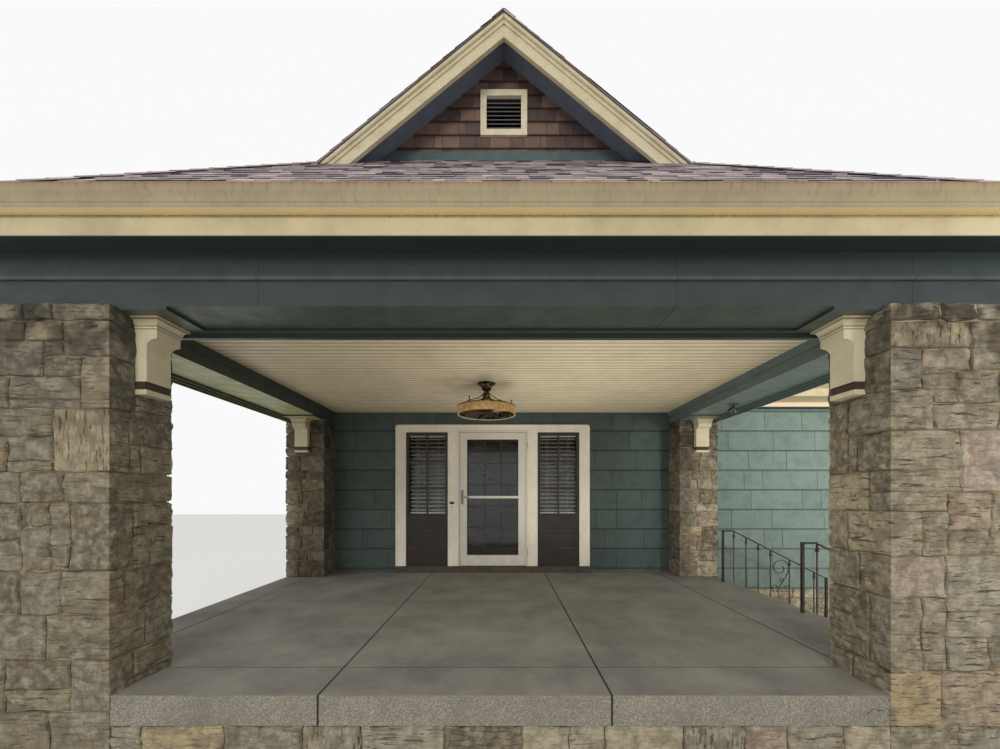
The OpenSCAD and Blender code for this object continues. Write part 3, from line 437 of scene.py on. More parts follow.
def stained_blade():
    """Fan blades in stained, lacquered plywood: dark red-brown with long grain and a soft gloss."""
    made, at = begin("stained_plywood", 0.35)
    grain = drawn_out(made, at, (14, 80, 80), 5.0)
    return finished(made, lay(made, "#25140e", ("#553122", grain, 0.35, 0.7)), [(grain, 0.0006)])


def amber_shade():
    """Mica-filled resin drum: amber, mottled, with a dull gloss."""
    made, at = begin("amber_mica_resin", 0.4)
    flakes = put(made, "TexVoronoi", (at, 0, 38.0), "Distance")
    cloud = put(made, "TexNoise", (at, 0, 16.0, 6.0))
    colour = lay(made, "#b8894a", ("#e3c68e", cloud, 0.32, 0.68),
                 ("#8a5f2c", flakes, 0.3, 0.8, 0.4))
    return finished(made, colour, [(flakes, 0.0008)], (cloud, 0.3, 0.7, 0.32, 0.5))


def vinyl_slat():
    """Moulded vinyl blind slats: off-white, dulled by dust."""
    made, at = begin("dusty_vinyl_slat", 0.5)
    dust = drawn_out(made, at, (5, 20, 20), 5.0)
    colour = lay(made, "#f0ede4", ("#bab7ad", dust, 0.35, 0.7, (0.1, 0.5)))
    return finished(made, colour, [(dust, 0.0004)])


SIDING_LINE = 0.168
COURSE = 0.2985
CEDAR_LINE = 5.09
SIDING_ROWS = (SIDING_LINE, COURSE)
stone = split_sandstone()
mortar = lime_mortar()
concrete = floated_concrete()
cream = brushed_paint("cream_oil_paint_on_pine", "#c5bb9b", "#8a7850")
# Corbels: a dark brown band, and painted shade lines in the crown's grooves
corbel_cream = brushed_paint("cream_oil_paint_on_corbels", "#c8bd9e", "#94876a", 0.3, 0.5, 2,
                             (2, 2.506, 2.555, "#3b332a"),
                             joint_and_shade_lines=(2, "#857550", 2.9295, 2.8945, 2.8775))
cream_ceiling = beaded_ceiling()
green = brushed_paint("dark_green_oil_paint", "#2b3633", "#1b2321", 0.3, 0.42)
# The front beam: dark butt joints, and a painted light on its undersides
front_green = brushed_paint("dark_green_oil_paint_front_beam", "#2c3632", "#1c2321", 0.3, 0.42,
                            under=("#4b5248", 3.2), joint_and_shade_lines=(0, "#0f1312", -1.42, 1.035, 2.42))
# A painted bluish light on the gable's undersides
gable_green = brushed_paint("slate_green_oil_paint", "#4c5a5b", "#2a3336", 0.3, 0.5,
                            under=("#6f7886", 9.0))
# A painted bright olive light on the left side beam's undersides
left_green_underlit = brushed_paint("dark_green_oil_paint_left_beam_painted_underlight", "#37423e", "#1f2624", 0.3, 0.42, 1,
                           under=("#b3b57e", 2.967))
# The right side beam: a lighter copy of the green, painted light, and a painted light on its
# undersides
right_green_painted_light = brushed_paint("dark_green_oil_paint_right_beam_painted_light", "#5a6661", "#2f3734", 0.3, 0.42, 1,
                            under=("#7a877f", 2.967))
vent_cream = brushed_paint("cream_oil_paint_on_louvres", "#dad1b4", "#8a7850", 0.3,
                           band=(1, 1.584, 1.7, "#3d3c40"))
frame_white = brushed_paint("stone_white_oil_paint", "#ece3d0", "#8f8672", 0.16, 0.45, 2)
brown = brushed_paint("umber_oil_paint", "#352d28", "#1f1a17", 0.5, 0.4)
sill = brushed_paint("worn_sill_paint", "#4f4840", "#2d2823", 0.6, 0.6)
# Near-black sheathing behind the shingles: painted shade in their gaps, with a cream frieze band
painted_shade_sheathing = brushed_paint("shaded_sheathing_paint", "#1e2724", "#121816", 0.4, 0.7, 2,
                         (2, 3.2165, 3.3, "#dccbab"))
# The porch's and the wing's shingles are one paint: darker with painted shade, lighter with painted
# light
shaded_siding = grained_shingle("fibre_cement_shingle_painted_shade",
                         ("#434f4a", "#46524d", "#48554f", "#4b5852"), "#1f2825", 0.004, 0.0015, 0.6,
                         SIDING_ROWS)
lit_wing_siding = grained_shingle("fibre_cement_shingle_painted_light",
                              ("#6d7c72", "#707f75", "#728177", "#748379"), "#333f3a", 0.004,
                              0.0015, 0.65, SIDING_ROWS)
cedar = grained_shingle("weathered_cedar_shingle",
                        ("#4a3c37", "#594741", "#675249", "#755d51", "#836a5b"), "#2a211d",
                        0.003, 0.002, 0.8, (CEDAR_LINE, 0.13))
roofing = asphalt_shingle()
# Soffits: dark green at the front, the same green lightened by painted light at the sides, cream on
# the wing
eave_green = eave_paint("eave_enamel_green_soffit", "#27332f")
eave_lit_soffit = eave_paint("eave_enamel_soffit_painted_light", "#66756a")
eave_cream = eave_paint("eave_enamel_cream_soffit", "#e0c9a6")
white = enamelled_aluminium()
glass = float_glass()
dark_glass_and_room_shade = dark_glass_and_painted_room_shade()
iron = wrought_iron()
nickel = brushed_nickel()
bronze = rubbed_bronze()
blade = stained_blade()
amber = amber_shade()
slat = vinyl_slat()

for finish, names in (
        (stone, "foundation_walls foundation_rear front_pier_left front_pier_right rear_pier_left "
                "rear_pier_right"),
        (concrete, "floor_slab side_steps"), (corbel_cream, "corbels_front corbels_side"),
        (front_green, "front_beam"), (left_green_underlit, "side_beam_left"),
        (right_green_painted_light, "side_beam_right"), (cream_ceiling, "porch_ceiling"),
        (painted_shade_sheathing, "house_walls wall_over_door wing_wall"), (lit_wing_siding, "attic_wall"),
        (frame_white, "door_frame"), (sill, "threshold"), (white, "storm_door"),
        (glass, "storm_door_glass sidelight_glass"), (brown, "inner_door sidelights"),
        (dark_glass_and_room_shade, "inner_door_glass"), (eave_green, "eave_front"),
        (roofing, "roof_front roof_left roof_right roof_wing gable_roof_left gable_roof_right"),
        (eave_lit_soffit, "eave_left eave_right"), (eave_cream, "eave_wing"), (cedar, "gable_wall"),
        (cream, "rake_boards"), (vent_cream, "gable_vent"), (gable_green, "gable_skirt"),
        (iron, "stair_railings"), (bronze, "fan_mount"), (amber, "fan_drum"),
        (blade, "fan_rotor"), (nickel, "floodlight")):
    for name in names.split():
        nodes[name].data.materials.clear()
        nodes[name].data.materials.append(finish)


def second_finish(name, finish, rule):
    """A second finish for a node's faces for which rule is true, by their corners and normal."""
    node = nodes[name]
    node.data.materials.append(finish)
    turn = node.matrix_world.to_3x3()
    for face in node.data.polygons:
        corners = [node.matrix_world @ node.data.vertices[i].co for i in face.vertices]
        if rule(corners, turn @ face.normal):
            face.material_index = 1


def on_lever(corners, _):
    """True inside the box that holds the lever handle and its plate."""
    low, high = (-0.625, 3.6, 1.6), (-0.485, 3.7765, 2.0)
    return all(low[k] < spot[k] < high[k] for spot in corners for k in range(3))


def faces_fan_axis(corners, normal):
    """True on the drum's lining."""
    middle = sum(corners, Vector()) / len(corners)
    return normal.dot(Vector((FAN[0] - middle.x, FAN[1] - middle.y, 0)).normalized()) > 0.5


second_finish("storm_door", nickel, on_lever)
second_finish("fan_drum", bronze, faces_fan_axis)
# The floodlight's lenses look down
second_finish("floodlight", dark_glass_and_room_shade, lambda corners, normal: normal.z < -0.4)

# Camera and lights

scene = bpy.context.scene
lens = bpy.data.cameras.new("camera")
lens.lens = 14.4
lens.sensor_width = 36
lens.shift_x = -0.003
lens.shift_y = 0.1225
eye = bpy.data.objects.new("camera", lens)
eye.location = (0.017, -2.303, 1.843)
eye.rotation_euler = (math.pi / 2, 0, 0)
scene.collection.objects.link(eye)
bpy.context.scene.camera = eye

# The world lights at 0.85 and shows as 1 to the camera and through glass
world = bpy.data.worlds.new("studio")
world.use_nodes = True
scene.world = world
backdrop = world.node_tree.nodes["Background"]
backdrop.inputs[0].default_value = linear("#fafafa")
rays = world.node_tree.nodes.new("ShaderNodeLightPath")
seen = put(world, "Math.ADD", (rays.outputs["Is Camera Ray"], rays.outputs["Is Transmission Ray"]),
           use_clamp=True)
level = put(world, "MapRange", {0: seen, 3: 0.85, 4: 1.0})
world.node_tree.links.new(level, backdrop.inputs[1])
scene.view_settings.view_transform = "Standard"

for name, place, aim, size, power, spread in (
        ("key", (-2, -12.9, 7.7), (0.2, 1, 3.2), 4, 280, 110),
        ("wing", (6.5, -8, 2.6), (4.6, 3.8, 2.9), 1.5, 68, 45),
        ("left", (-11, 1, 3), (0, 2.5, 2.7), 3.5, 24, 75),
        ("porch", (1.15, 2.0, 0.72), (1.7, 2.2, 3), 2.4, 48, 150)):
    lamp = bpy.data.lights.new(name, "AREA")
    lamp.size = size
    lamp.energy = power
    lamp.spread = math.radians(spread)
    holder = bpy.data.objects.new(name, lamp)
    holder.location = place
    holder.rotation_euler = (Vector(aim) - Vector(place)).to_track_quat("-Z", "Y").to_euler()
    holder.visible_camera = False
    holder.visible_glossy = False
    holder.visible_transmission = False
    scene.collection.objects.link(holder)

# Modelling

def leave():
    """Leaves edit mode."""
    bpy.ops.object.mode_set(mode="OBJECT")


def clear():
    """Leaves edit mode and deselects everything."""
    if bpy.context.mode != "OBJECT":
        leave()
    bpy.ops.object.select_all(action="DESELECT")


def select(*pieces):
    """Selects these pieces alone, the first one active."""
    clear()
    for piece in pieces:
        piece.select_set(True)
    bpy.context.view_layer.objects.active = pieces[0]


def edit(piece):
    """Enters edit mode on a piece."""
    select(piece)
    bpy.ops.object.mode_set(mode="EDIT")


def add_box(low, high):
    """Adds a box between two corners, to the mesh in edit mode or as a new object."""
    low, high = Vector(low), Vector(high)
    bpy.ops.mesh.primitive_cube_add(size=1, location=(low + high) / 2, scale=high - low)


def start(name, boxes, finish):
    """A new piece that starts as boxes, each given by two corners."""
    clear()
    add_box(*boxes[0])
    piece = bpy.context.object
    piece.name = piece.data.name = name
    bpy.ops.object.transform_apply(location=True, rotation=True, scale=True)
    bpy.ops.object.mode_set(mode="EDIT")
    for low, high in boxes[1:]:
        add_box(low, high)
    leave()
    piece.data.materials.append(finish)
    return piece


def modify(piece, kind, **settings):
    """Applies one modifier to a piece."""
    select(piece)
    bpy.ops.object.modifier_add(type=kind)
    made = piece.modifiers[-1]
    for name, value in settings.items():
        setattr(made, name, value)
    bpy.ops.object.modifier_apply(modifier=made.name)


def ease(piece, width, segments=2):
    """Rounds a piece's sharp edges."""
    modify(piece, "BEVEL", width=width, segments=segments, limit_method="ANGLE")


def repeat(piece, count, step):
    """Copies a piece's mesh along a row."""
    modify(piece, "ARRAY", count=count, use_relative_offset=False, use_constant_offset=True,
           constant_offset_displace=step)


def pick(piece, rule, kind="FACE"):
    """Enters edit mode with the faces, edges or vertices chosen for which rule is true."""
    edit(piece)
    bpy.ops.mesh.select_mode(type=kind)
    bpy.ops.mesh.select_all(action="DESELECT")
    leave()
    mesh = piece.data
    for item in {"FACE": mesh.polygons, "EDGE": mesh.edges, "VERT": mesh.vertices}[kind]:
        item.select = bool(rule(item))
    bpy.ops.object.mode_set(mode="EDIT")


def cut(piece, planes):
    """Cuts a piece off beyond each plane, given by a point and its outward direction."""
    edit(piece)
    bpy.ops.mesh.select_mode(type="FACE")
    for point, outward in planes:
        bpy.ops.mesh.select_all(action="SELECT")
        bpy.ops.mesh.bisect(plane_co=point, plane_no=outward, use_fill=True, clear_outer=True)
    leave()


def place(piece, origin, across, up):
    """Puts a piece that was made upright, with its face at y = 0, onto its plane."""
    across, up = Vector(across).normalized(), Vector(up).normalized()
    turn = Matrix((across, up.cross(across), up)).transposed().to_4x4()
    select(piece)
    piece.matrix_world = Matrix.Translation(origin) @ turn
    bpy.ops.object.transform_apply(location=True, rotation=True, scale=True)


def join(name, pieces):
    """Joins pieces into one."""
    select(*pieces)
    bpy.ops.object.join()
    whole = bpy.context.object
    whole.name = whole.data.name = name
    return whole


def tone(piece, shades, faces):
    """Gives each run of faces its own shade number, for the finish to read."""
    marks = piece.data.attributes.new("tone", "FLOAT", "FACE")
    marks.data.foreach_set("value", np.repeat(np.asarray(shades, np.float32), faces))


def boards(name, boxes, finish, round_by=0.002, body="porch"):
    """Boards or bars with eased edges, as one piece."""
    piece = start(name, boxes, finish)
    ease(piece, round_by)
    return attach(piece, body)


# The studio's floor
clear()
bpy.ops.mesh.primitive_plane_add(size=80, location=(0, 0, -0.002))
floor = bpy.context.object
floor.name = "studio_floor"
pale = begin("pale_studio_floor", 0.9, Base_Color=linear("#f0efec"))[0]
floor.data.materials.append(pale)

# Stonework

STONE_TONES = (0.12, 0.2, 0.25, 0.3, 0.35, 0.4, 0.45, 0.5, 0.55, 0.65, 0.72, 0.86, 0.95)
# The waves that break the blocks' faces
ROCK = bpy.data.textures.new("rock", "CLOUDS")
ROCK.cloud_type = "COLOR"
ROCK.noise_scale = 0.06
ROCK.noise_depth = 3
# Blocks of the two front piers as seen in the photograph: left, right, bottom and top in
# millimetres from the face's left edge and the ground, and ten times the tone
LEFT_FRONT = (
    (0,336,2862,2963,3), (336,497,2862,2963,4), (497,830,2862,2963,4), (0,339,2741,2862,2),
    (339,564,2741,2862,6), (564,830,2652,2862,4), (451,564,2652,2741,4), (0,451,2537,2741,2),
    (451,664,2537,2652,3), (664,830,2355,2652,6), (0,253,2355,2537,3), (253,664,2404,2537,5),
    (253,664,2355,2404,2), (0,506,2194,2355,3), (0,241,1987,2194,3), (241,506,2050,2194,2),
    (241,506,1987,2050,3), (506,830,1987,2355,7), (0,322,1808,1987,2), (322,561,1808,1987,1),
    (561,830,1808,1987,3), (0,322,1595,1808,1), (0,322,1417,1595,2), (322,489,1665,1808,1),
    (322,489,1417,1665,2), (489,604,1561,1808,2), (489,604,1417,1561,4), (604,830,1417,1808,1),
    (0,316,1164,1417,1), (316,546,1164,1417,2), (546,830,1164,1417,4), (0,460,905,1164,2),
    (460,830,905,1164,3), (0,230,605,905,3), (230,604,732,905,1), (230,604,605,732,4),
    (604,830,605,905,2), (0,489,329,605,3), (489,830,329,605,2), (0,287,0,329,1),
    (287,633,0,329,3), (633,830,0,329,2))
LEFT_INNER = (
    (0,150,2862,2963,4), (150,424,2862,2963,1), (0,200,2652,2862,2), (200,424,2652,2862,1),
    (0,161,2355,2652,1), (161,424,2515,2652,2), (161,424,2372,2515,5), (0,128,1987,2355,3),
    (128,424,2164,2372,1), (195,424,1987,2164,4), (128,195,1987,2164,3), (0,424,1808,1987,3),
    (0,148,1417,1808,1), (148,424,1660,1808,4), (148,266,1400,1660,4), (266,424,1400,1660,3),
    (0,95,1164,1417,4), (95,424,1180,1400,1), (0,230,905,1164,3), (230,424,905,1180,2),
    (0,150,605,905,2), (150,424,740,905,4), (150,424,605,740,1), (0,260,329,605,2),
    (260,424,329,605,4), (0,180,0,329,2), (180,424,0,329,3))
RIGHT_FRONT = (
    (0,295,2862,2963,6), (295,508,2862,2963,4), (508,830,2862,2963,5), (0,459,2701,2862,7),
    (459,830,2574,2862,3), (0,182,2462,2701,5), (182,459,2574,2701,8), (182,384,2462,2574,3),
    (384,628,2384,2574,3), (628,830,2384,2574,4), (0,248,2229,2462,4), (248,384,2384,2462,3),
    (248,623,2229,2384,4), (623,830,2229,2384,3), (0,404,1998,2229,4), (404,830,1872,2229,9),
    (0,404,1872,1998,4), (0,335,1760,1872,3), (335,577,1653,1872,8.5), (577,830,1503,1872,4),
    (0,182,1503,1760,4), (182,335,1653,1760,4), (182,335,1503,1653,3), (335,577,1503,1653,3),
    (0,318,1261,1503,9), (318,830,1187,1503,5), (0,182,841,1261,3), (182,318,841,1261,4),
    (318,830,1031,1187,5), (318,571,841,1031,5), (571,830,841,1031,3), (0,295,519,841,7.5),
    (295,830,519,841,8.2), (0,398,271,519,3), (398,830,271,519,5), (0,197,0,271,3),
    (197,830,0,271,4))
RIGHT_INNER = (
    (0,210,2862,2963,1), (210,424,2862,2963,4), (0,150,2701,2862,1), (150,424,2701,2862,2),
    (0,424,2462,2701,1), (138,424,2229,2462,2), (0,138,1998,2462,1),
    (138,204,1998,2229,2), (204,424,1998,2229,1), (0,287,1760,1998,6), (287,424,1872,1998,1),
    (287,424,1760,1872,2), (138,424,1503,1760,6), (0,138,1503,1760,2), (0,224,1261,1503,2),
    (224,424,1261,1503,3), (0,294,1090,1261,1), (0,294,841,1090,3), (294,424,841,1261,2),
    (0,174,519,841,2), (174,424,519,841,4), (0,424,271,519,3), (0,230,0,271,2), (230,424,0,271,4))


def courses(width, levels, seed, longest=0.42):
    """Blocks between the given levels with broken joints; here and there one is split in two."""
    draw = random.Random(seed)
    rows = []
    for low, high in zip(levels, levels[1:]):
        left = 0.0
        while left < width - 0.001:
            right = left + draw.uniform(0.17, longest)
            if width - right < 0.13:
                right = width
            inside = left > 0 and right < width
            spans = [(low, high)]
            if inside and high - low > 0.19 and draw.random() < 0.45:
                half = low + (high - low) * draw.uniform(0.4, 0.62)
                spans = [(low, half), (half, high)]
            rows += [(left, right, *span, draw.choice(STONE_TONES)) for span in spans]
            left = right
    return rows


def stone_face(name, rows, width, origin, across, mitres=(False, False)):
    """Rock-faced blocks over one face: each is a box whose front is set off, broken and roughened."""
    gap = 0.004
    over = 0.04
    boxes = []
    for left, right, low, high, _ in rows:
        left = left - over if mitres[0] and left < 0.001 else left + gap
        right = right + over if mitres[1] and right > width - 0.001 else right - gap
        boxes.append(((left, 0.004, low + gap), (right, 0.085, high - gap)))
    piece = start(name, boxes, stone)
    tone(piece, [row[4] for row in rows], 6)
    pick(piece, lambda face: face.normal.y < -0.9)
    bpy.ops.mesh.subdivide(number_cuts=4)
    bpy.ops.mesh.inset(thickness=0.008, depth=0.009, use_individual=False)
    leave()
    place(piece, origin, across, UP)
    modify(piece, "DISPLACE", texture=ROCK, texture_coords="LOCAL", direction="RGB_TO_XYZ",
           strength=0.034, mid_level=0.5)
    across = Vector(across)
    inward = Vector(UP).cross(across)
    planes = [(Vector(origin), (0, 0, -1))]
    if mitres[0]:
        planes.append((Vector(origin), inward - across))
    if mitres[1]:
        planes.append((Vector(origin) + across * width, inward + across))
    cut(piece, planes)
    return piece


def pier(node, low, high, levels, tables, seed):
    """Four faces of blocks round a mortar core; tables holds the measured faces by their number."""
    size = Vector(high) - Vector(low)
    foot = low[2]
    corners = (low[:2], (high[0], low[1]), high[:2], (low[0], high[1]))
    ways = ((1, 0, 0), (0, 1, 0), (-1, 0, 0), (0, -1, 0))
    faces = []
    for number in range(4):
        width = size[number % 2]
        if number in tables:
            rows = [(*(side / 1000 for side in sides), shade / 10)
                    for *sides, shade in tables[number]]
        else:
            rows = courses(width, [z - foot for z in levels], seed + number, 0.36)
        faces.append(stone_face(f"{node}_face_{number}", rows, width, (*corners[number], foot),
                                ways[number], (True, True)))
    inset = Vector((0.011, 0.011, 0.0))
    core = start(f"{node}_core", [(Vector(low) + inset, Vector(high) - inset)], mortar)
    ease(core, 0.006, 1)
    whole = join(f"{node}_stones", faces + [core])
    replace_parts(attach(whole, "porch"), node)


LEFT_LEVELS = (0, 0.329, 0.605, 0.905, 1.164, 1.417, 1.595, 1.808, 1.987, 2.194, 2.355, 2.537,
               2.741, 2.862, 2.963)
RIGHT_LEVELS = (0, 0.271, 0.519, 0.841, 1.031, 1.187, 1.503, 1.653, 1.872, 2.05, 2.229, 2.384,
                2.574, 2.72, 2.862, 2.963)
REAR_LEVELS = (0.7, 0.93, 1.08, 1.3, 1.42, 1.63, 1.74, 1.95, 2.1, 2.22, 2.43, 2.55, 2.74, 2.85,
               2.963)
pier("front_pier_left", (-PIER_OUT, 0, 0), (-PIER_IN, PIER_DEEP, BEAM_Z), LEFT_LEVELS,
     {0: LEFT_FRONT, 1: LEFT_INNER}, 11)
pier("front_pier_right", (PIER_IN, 0, 0), (PIER_OUT, PIER_DEEP, BEAM_Z), RIGHT_LEVELS,
     {0: RIGHT_FRONT, 3: RIGHT_INNER}, 21)
pier("rear_pier_left", (-PIER_OUT, REAR_FRONT, FLOOR_Z), (-REAR_IN, WALL_Y, BEAM_Z),
     REAR_LEVELS, {}, 31)
pier("rear_pier_right", (REAR_IN, REAR_FRONT, FLOOR_Z), (PIER_OUT, WALL_Y, BEAM_Z),
     REAR_LEVELS, {}, 41)

# The mortar lies 16 mm behind the stones' faces
SET_BACK = 0.016
FOOT_IN = 2.78
side_length = WALL_Y - PIER_DEEP
base_levels = (0, 0.16, 0.37, SLAB_LOW)
base = join("foundation_stones", [
    stone_face("base_front", courses(2 * PIER_IN, base_levels, 51, 0.5), 2 * PIER_IN,
               (-PIER_IN, 0, 0), (1, 0, 0)),
    stone_face("base_left", courses(side_length, base_levels, 52, 0.5), side_length,
               (-PIER_OUT, WALL_Y, 0), (0, -1, 0)),
    stone_face("base_right", courses(side_length, base_levels, 53, 0.5), side_length,
               (PIER_OUT, PIER_DEEP, 0), (0, 1, 0)),
    start("base_core", [((-PIER_IN, SET_BACK, 0), (PIER_IN, 0.3, SLAB_LOW)),
                        ((-PIER_OUT + SET_BACK, PIER_DEEP, 0), (-FOOT_IN, WALL_Y, SLAB_LOW)),
                        ((FOOT_IN, PIER_DEEP, 0), (PIER_OUT - SET_BACK, WALL_Y, SLAB_LOW))],
          mortar)])
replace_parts(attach(base, "porch"), "foundation_walls")

wing_levels = (0, 0.14, 0.3, WING_BASE_Z)
base = join("foundation_rear_stones", [
    stone_face("rear_base_wing", courses(WING_END - PIER_OUT, wing_levels, 61, 0.5),
               WING_END - PIER_OUT, (PIER_OUT, WALL_Y, 0), (1, 0, 0), (False, True)),
    stone_face("rear_base_end", courses(0.19, wing_levels, 62), 0.19, (WING_END, WALL_Y, 0),
               (0, 1, 0), (True, False)),
    stone_face("rear_base_left", courses(0.19, (0, 0.2, 0.45, FLOOR_Z), 63), 0.19,
               (HOUSE_LEFT, BACK_Y, 0), (0, -1, 0)),
    start("rear_base_core", [
        ((HOUSE_LEFT + SET_BACK, WALL_Y, 0), (-HOUSE_LEFT, BACK_Y - 0.001, FLOOR_Z)),
        ((-HOUSE_LEFT, WALL_Y + SET_BACK, 0),
         (WING_END - SET_BACK, BACK_Y - 0.001, WING_BASE_Z))], mortar)])
cut(base, (((WING_END, 0, 0), (1, 0, 0)), ((0, BACK_Y, 0), (0, 1, 0))))
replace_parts(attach(base, "porch"), "foundation_rear")

# Shingles and boards

def lapped(name, finish, tile, origin, across, up, count, planes, seed, uneven=0.0, gap=0.004,
           lap=0.02, drop=0.0, deck=0.0, stagger=0.5, lift=0.0):
    """Lapped courses: one tile is shaped, arrayed into two courses and over the plane, then cut."""
    width, exposure, thick = tile
    columns, rows = count
    piece = start(name, [((gap / 2, -thick, 0), (width - gap / 2, 0, exposure + lap))], finish)
    pick(piece, lambda v: v.co.z > exposure and v.co.y < -thick / 2, "VERT")
    bpy.ops.transform.translate(value=(0, thick * 0.9, 0))
    pick(piece, lambda e: all(piece.data.vertices[i].co.z < 0.001 and
                              piece.data.vertices[i].co.y < -thick / 2 for i in e.vertices), "EDGE")
    bpy.ops.mesh.bevel(offset=min(0.0015, thick / 4), segments=1)
    leave()
    points, faces = len(piece.data.vertices), len(piece.data.polygons)
    repeat(piece, columns, (width, 0, 0))
    bpy.ops.object.mode_set(mode="EDIT")
    bpy.ops.mesh.select_all(action="SELECT")
    bpy.ops.mesh.duplicate()
    bpy.ops.transform.translate(value=(-stagger * width, 0, exposure))
    leave()
    pairs = math.ceil(rows / 2)
    repeat(piece, pairs, (0, 0, 2 * exposure))
    # Each tile is a little wider or narrower, lower and more lifted than the next
    total = columns * 2 * pairs
    chance = np.random.default_rng(seed)
    spots = np.empty(total * points * 3, np.float32)
    piece.data.vertices.foreach_get("co", spots)
    spots = spots.reshape(total, points, 3)
    shift = chance.uniform(-uneven, uneven, (2 * pairs, columns + 1)) * width
    along = (spots[:, :, 0] - spots[:, :, 0].min(1, keepdims=True)) / (width - gap)
    spots[:, :, 0] += (shift[:, :-1].reshape(-1, 1) * (1 - along)
                       + shift[:, 1:].reshape(-1, 1) * along)
    foot = spots[:, :, 2] < spots[:, :, 2].min(1, keepdims=True) + 0.003
    spots[:, :, 2] -= foot * chance.uniform(0, 1, (total, 1)) * drop
    outer = spots[:, :, 1] < -thick * 0.6
    spots[:, :, 1] -= outer * foot * chance.uniform(0, 1, (total, 1)) * lift
    piece.data.vertices.foreach_set("co", spots.reshape(-1))
    tone(piece, chance.random(total), faces)
    if deck:
        edit(piece)
        add_box((-width / 2, -0.0005, 0), (columns * width, deck, 2 * pairs * exposure))
        leave()
    place(piece, origin, across, up)
    cut(piece, planes)
    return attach(piece, "porch")


def left_of(x):
    """A plane that keeps what lies left of x."""
    return (x, 0, 0), (1, 0, 0)


def right_of(x):
    """A plane that keeps what lies right of x."""
    return (x, 0, 0), (-1, 0, 0)


def below(z):
    """A plane that keeps what lies below z."""
    return (0, 0, z), UP


def above(z):
    """A plane that keeps what lies above z."""
    return (0, 0, z), (0, 0, -1)


CASING = (-1.614, 1.334)
CASING_TOP = 2.941
SIDING = (0.61, COURSE, 0.014)
UNEVEN_SIDING = (0.32, 0.006, 0.012)
for name, planes in (
        ("wall_shingles_left", (right_of(-WALL_HALF), left_of(CASING[0]))),
        ("wall_shingles_right", (left_of(WALL_HALF), right_of(CASING[1]))),
        ("wall_shingles_over_door", (right_of(CASING[0]), left_of(CASING[1]), above(CASING_TOP)))):
    lapped(name, shaded_siding, SIDING, (-2.7, WALL_Y, SIDING_LINE + COURSE), (1, 0, 0), UP, (10, 10),
           (*planes, above(FLOOR_Z + 0.001), below(CEILING_Z)), 71, *UNEVEN_SIDING)
lapped("wing_shingles", lit_wing_siding, SIDING, (2.9, WALL_Y, SIDING_LINE), (1, 0, 0), UP, (5, 11),
       (right_of(-HOUSE_LEFT), left_of(WING_END), above(WING_BASE_Z), below(WING_TOP_Z)), 72,
       *UNEVEN_SIDING)

CEDAR = (0.145, 0.13, 0.012)
UNDER_ROOF = (GABLE_X, 0, GABLE_TOP - 0.11)
gable_sides = ((UNDER_ROOF, (GABLE_PITCH, 0, 1)), (UNDER_ROOF, (-GABLE_PITCH, 0, 1)),
               above(SKIRT_TOP_Z))
vent_left, vent_right, vent_low, vent_high = GABLE_X - 0.19, GABLE_X + 0.19, 5.37, 5.727
over_vent = (right_of(vent_left), left_of(vent_right))
for name, planes in (
        ("gable_shingles_left", (left_of(vent_left),)),
        ("gable_shingles_right", (right_of(vent_right),)),
        ("gable_shingles_low", (*over_vent, below(vent_low))),
        ("gable_shingles_high", (*over_vent, above(vent_high)))):
    lapped(name, cedar, CEDAR, (GABLE_X - 1.5, GABLE_WALL_Y, CEDAR_LINE), (1, 0, 0), UP,
           (21, 8), (*gable_sides, *planes), 73, 0.3, 0.005, 0.015, 0.006)

TAB = (0.15, 0.143, 0.0055)
EAVE_Z = ROOF_Z - 0.008
RIDGE_END = (0, RIDGE_Y, 0)
BACK = ((0, BACK_Y, 0), (0, 1, 0))
VALLEY = (ROOF_X, WING_ROOF_Y, 0)
for number, (node, origin, across, up, count, planes) in enumerate((
        ("roof_front", (-ROOF_X - 0.05, ROOF_Y, EAVE_Z), (1, 0, 0), (0, 1, ROOF_PITCH), (45, 32),
         ((RIDGE_END, (-1, 1, 0)), (RIDGE_END, (1, 1, 0)))),
        ("roof_left", (-ROOF_X, BACK_Y + 0.05, EAVE_Z), (0, -1, 0), (1, 0, ROOF_PITCH), (28, 32),
         ((RIDGE_END, (1, -1, 0)), left_of(0), BACK)),
        ("roof_right", (ROOF_X, ROOF_Y - 0.05, EAVE_Z), (0, 1, 0), (-1, 0, ROOF_PITCH), (28, 32),
         ((RIDGE_END, (-1, -1, 0)), right_of(0), BACK, (VALLEY, (1, 1, 0)))),
        ("roof_wing", (2.5, WING_ROOF_Y, EAVE_Z), (1, 0, 0), (0, 1, ROOF_PITCH), (19, 8),
         ((VALLEY, (-1, -1, 0)), left_of(WING_END), BACK)))):
    covering = lapped(f"{node}_shingles", roofing, TAB, origin, across, up, count, planes,
                      81 + number, 0.35, 0.004, 0.02, 0.025, 0.1, 0.37, 0.005)
    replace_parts(covering, node)
# The gable's shingles lie 54 mm lower than the frame's slab, as the photograph has them
GABLE_COVER = GABLE_TOP - 0.054
GABLE_HALF = 1.747
verge = ((0, VERGE_Y - 0.005, 0), (0, -1, 0))
on_roof = ((0, ROOF_Y, ROOF_Z), (0, ROOF_PITCH, -1))
for side, hand, origin_y, seed in ((-1, "left", 2.85, 86), (1, "right", VERGE_Y - 0.006, 87)):
    covering = lapped(f"gable_roof_shingles_{hand}", roofing, TAB,
                      (GABLE_X + side * GABLE_HALF, origin_y,
                       GABLE_COVER - GABLE_PITCH * GABLE_HALF),
                      (0, side, 0), (-side, 0, GABLE_PITCH), (13, 16),
                      (((GABLE_X, 0, 0), (-side, 0, 0)), verge, on_roof), seed, 0.35, 0.005, 0.02,
                      0.012, 0.011, 0.37, 0.004)
    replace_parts(covering, f"gable_roof_{hand}")


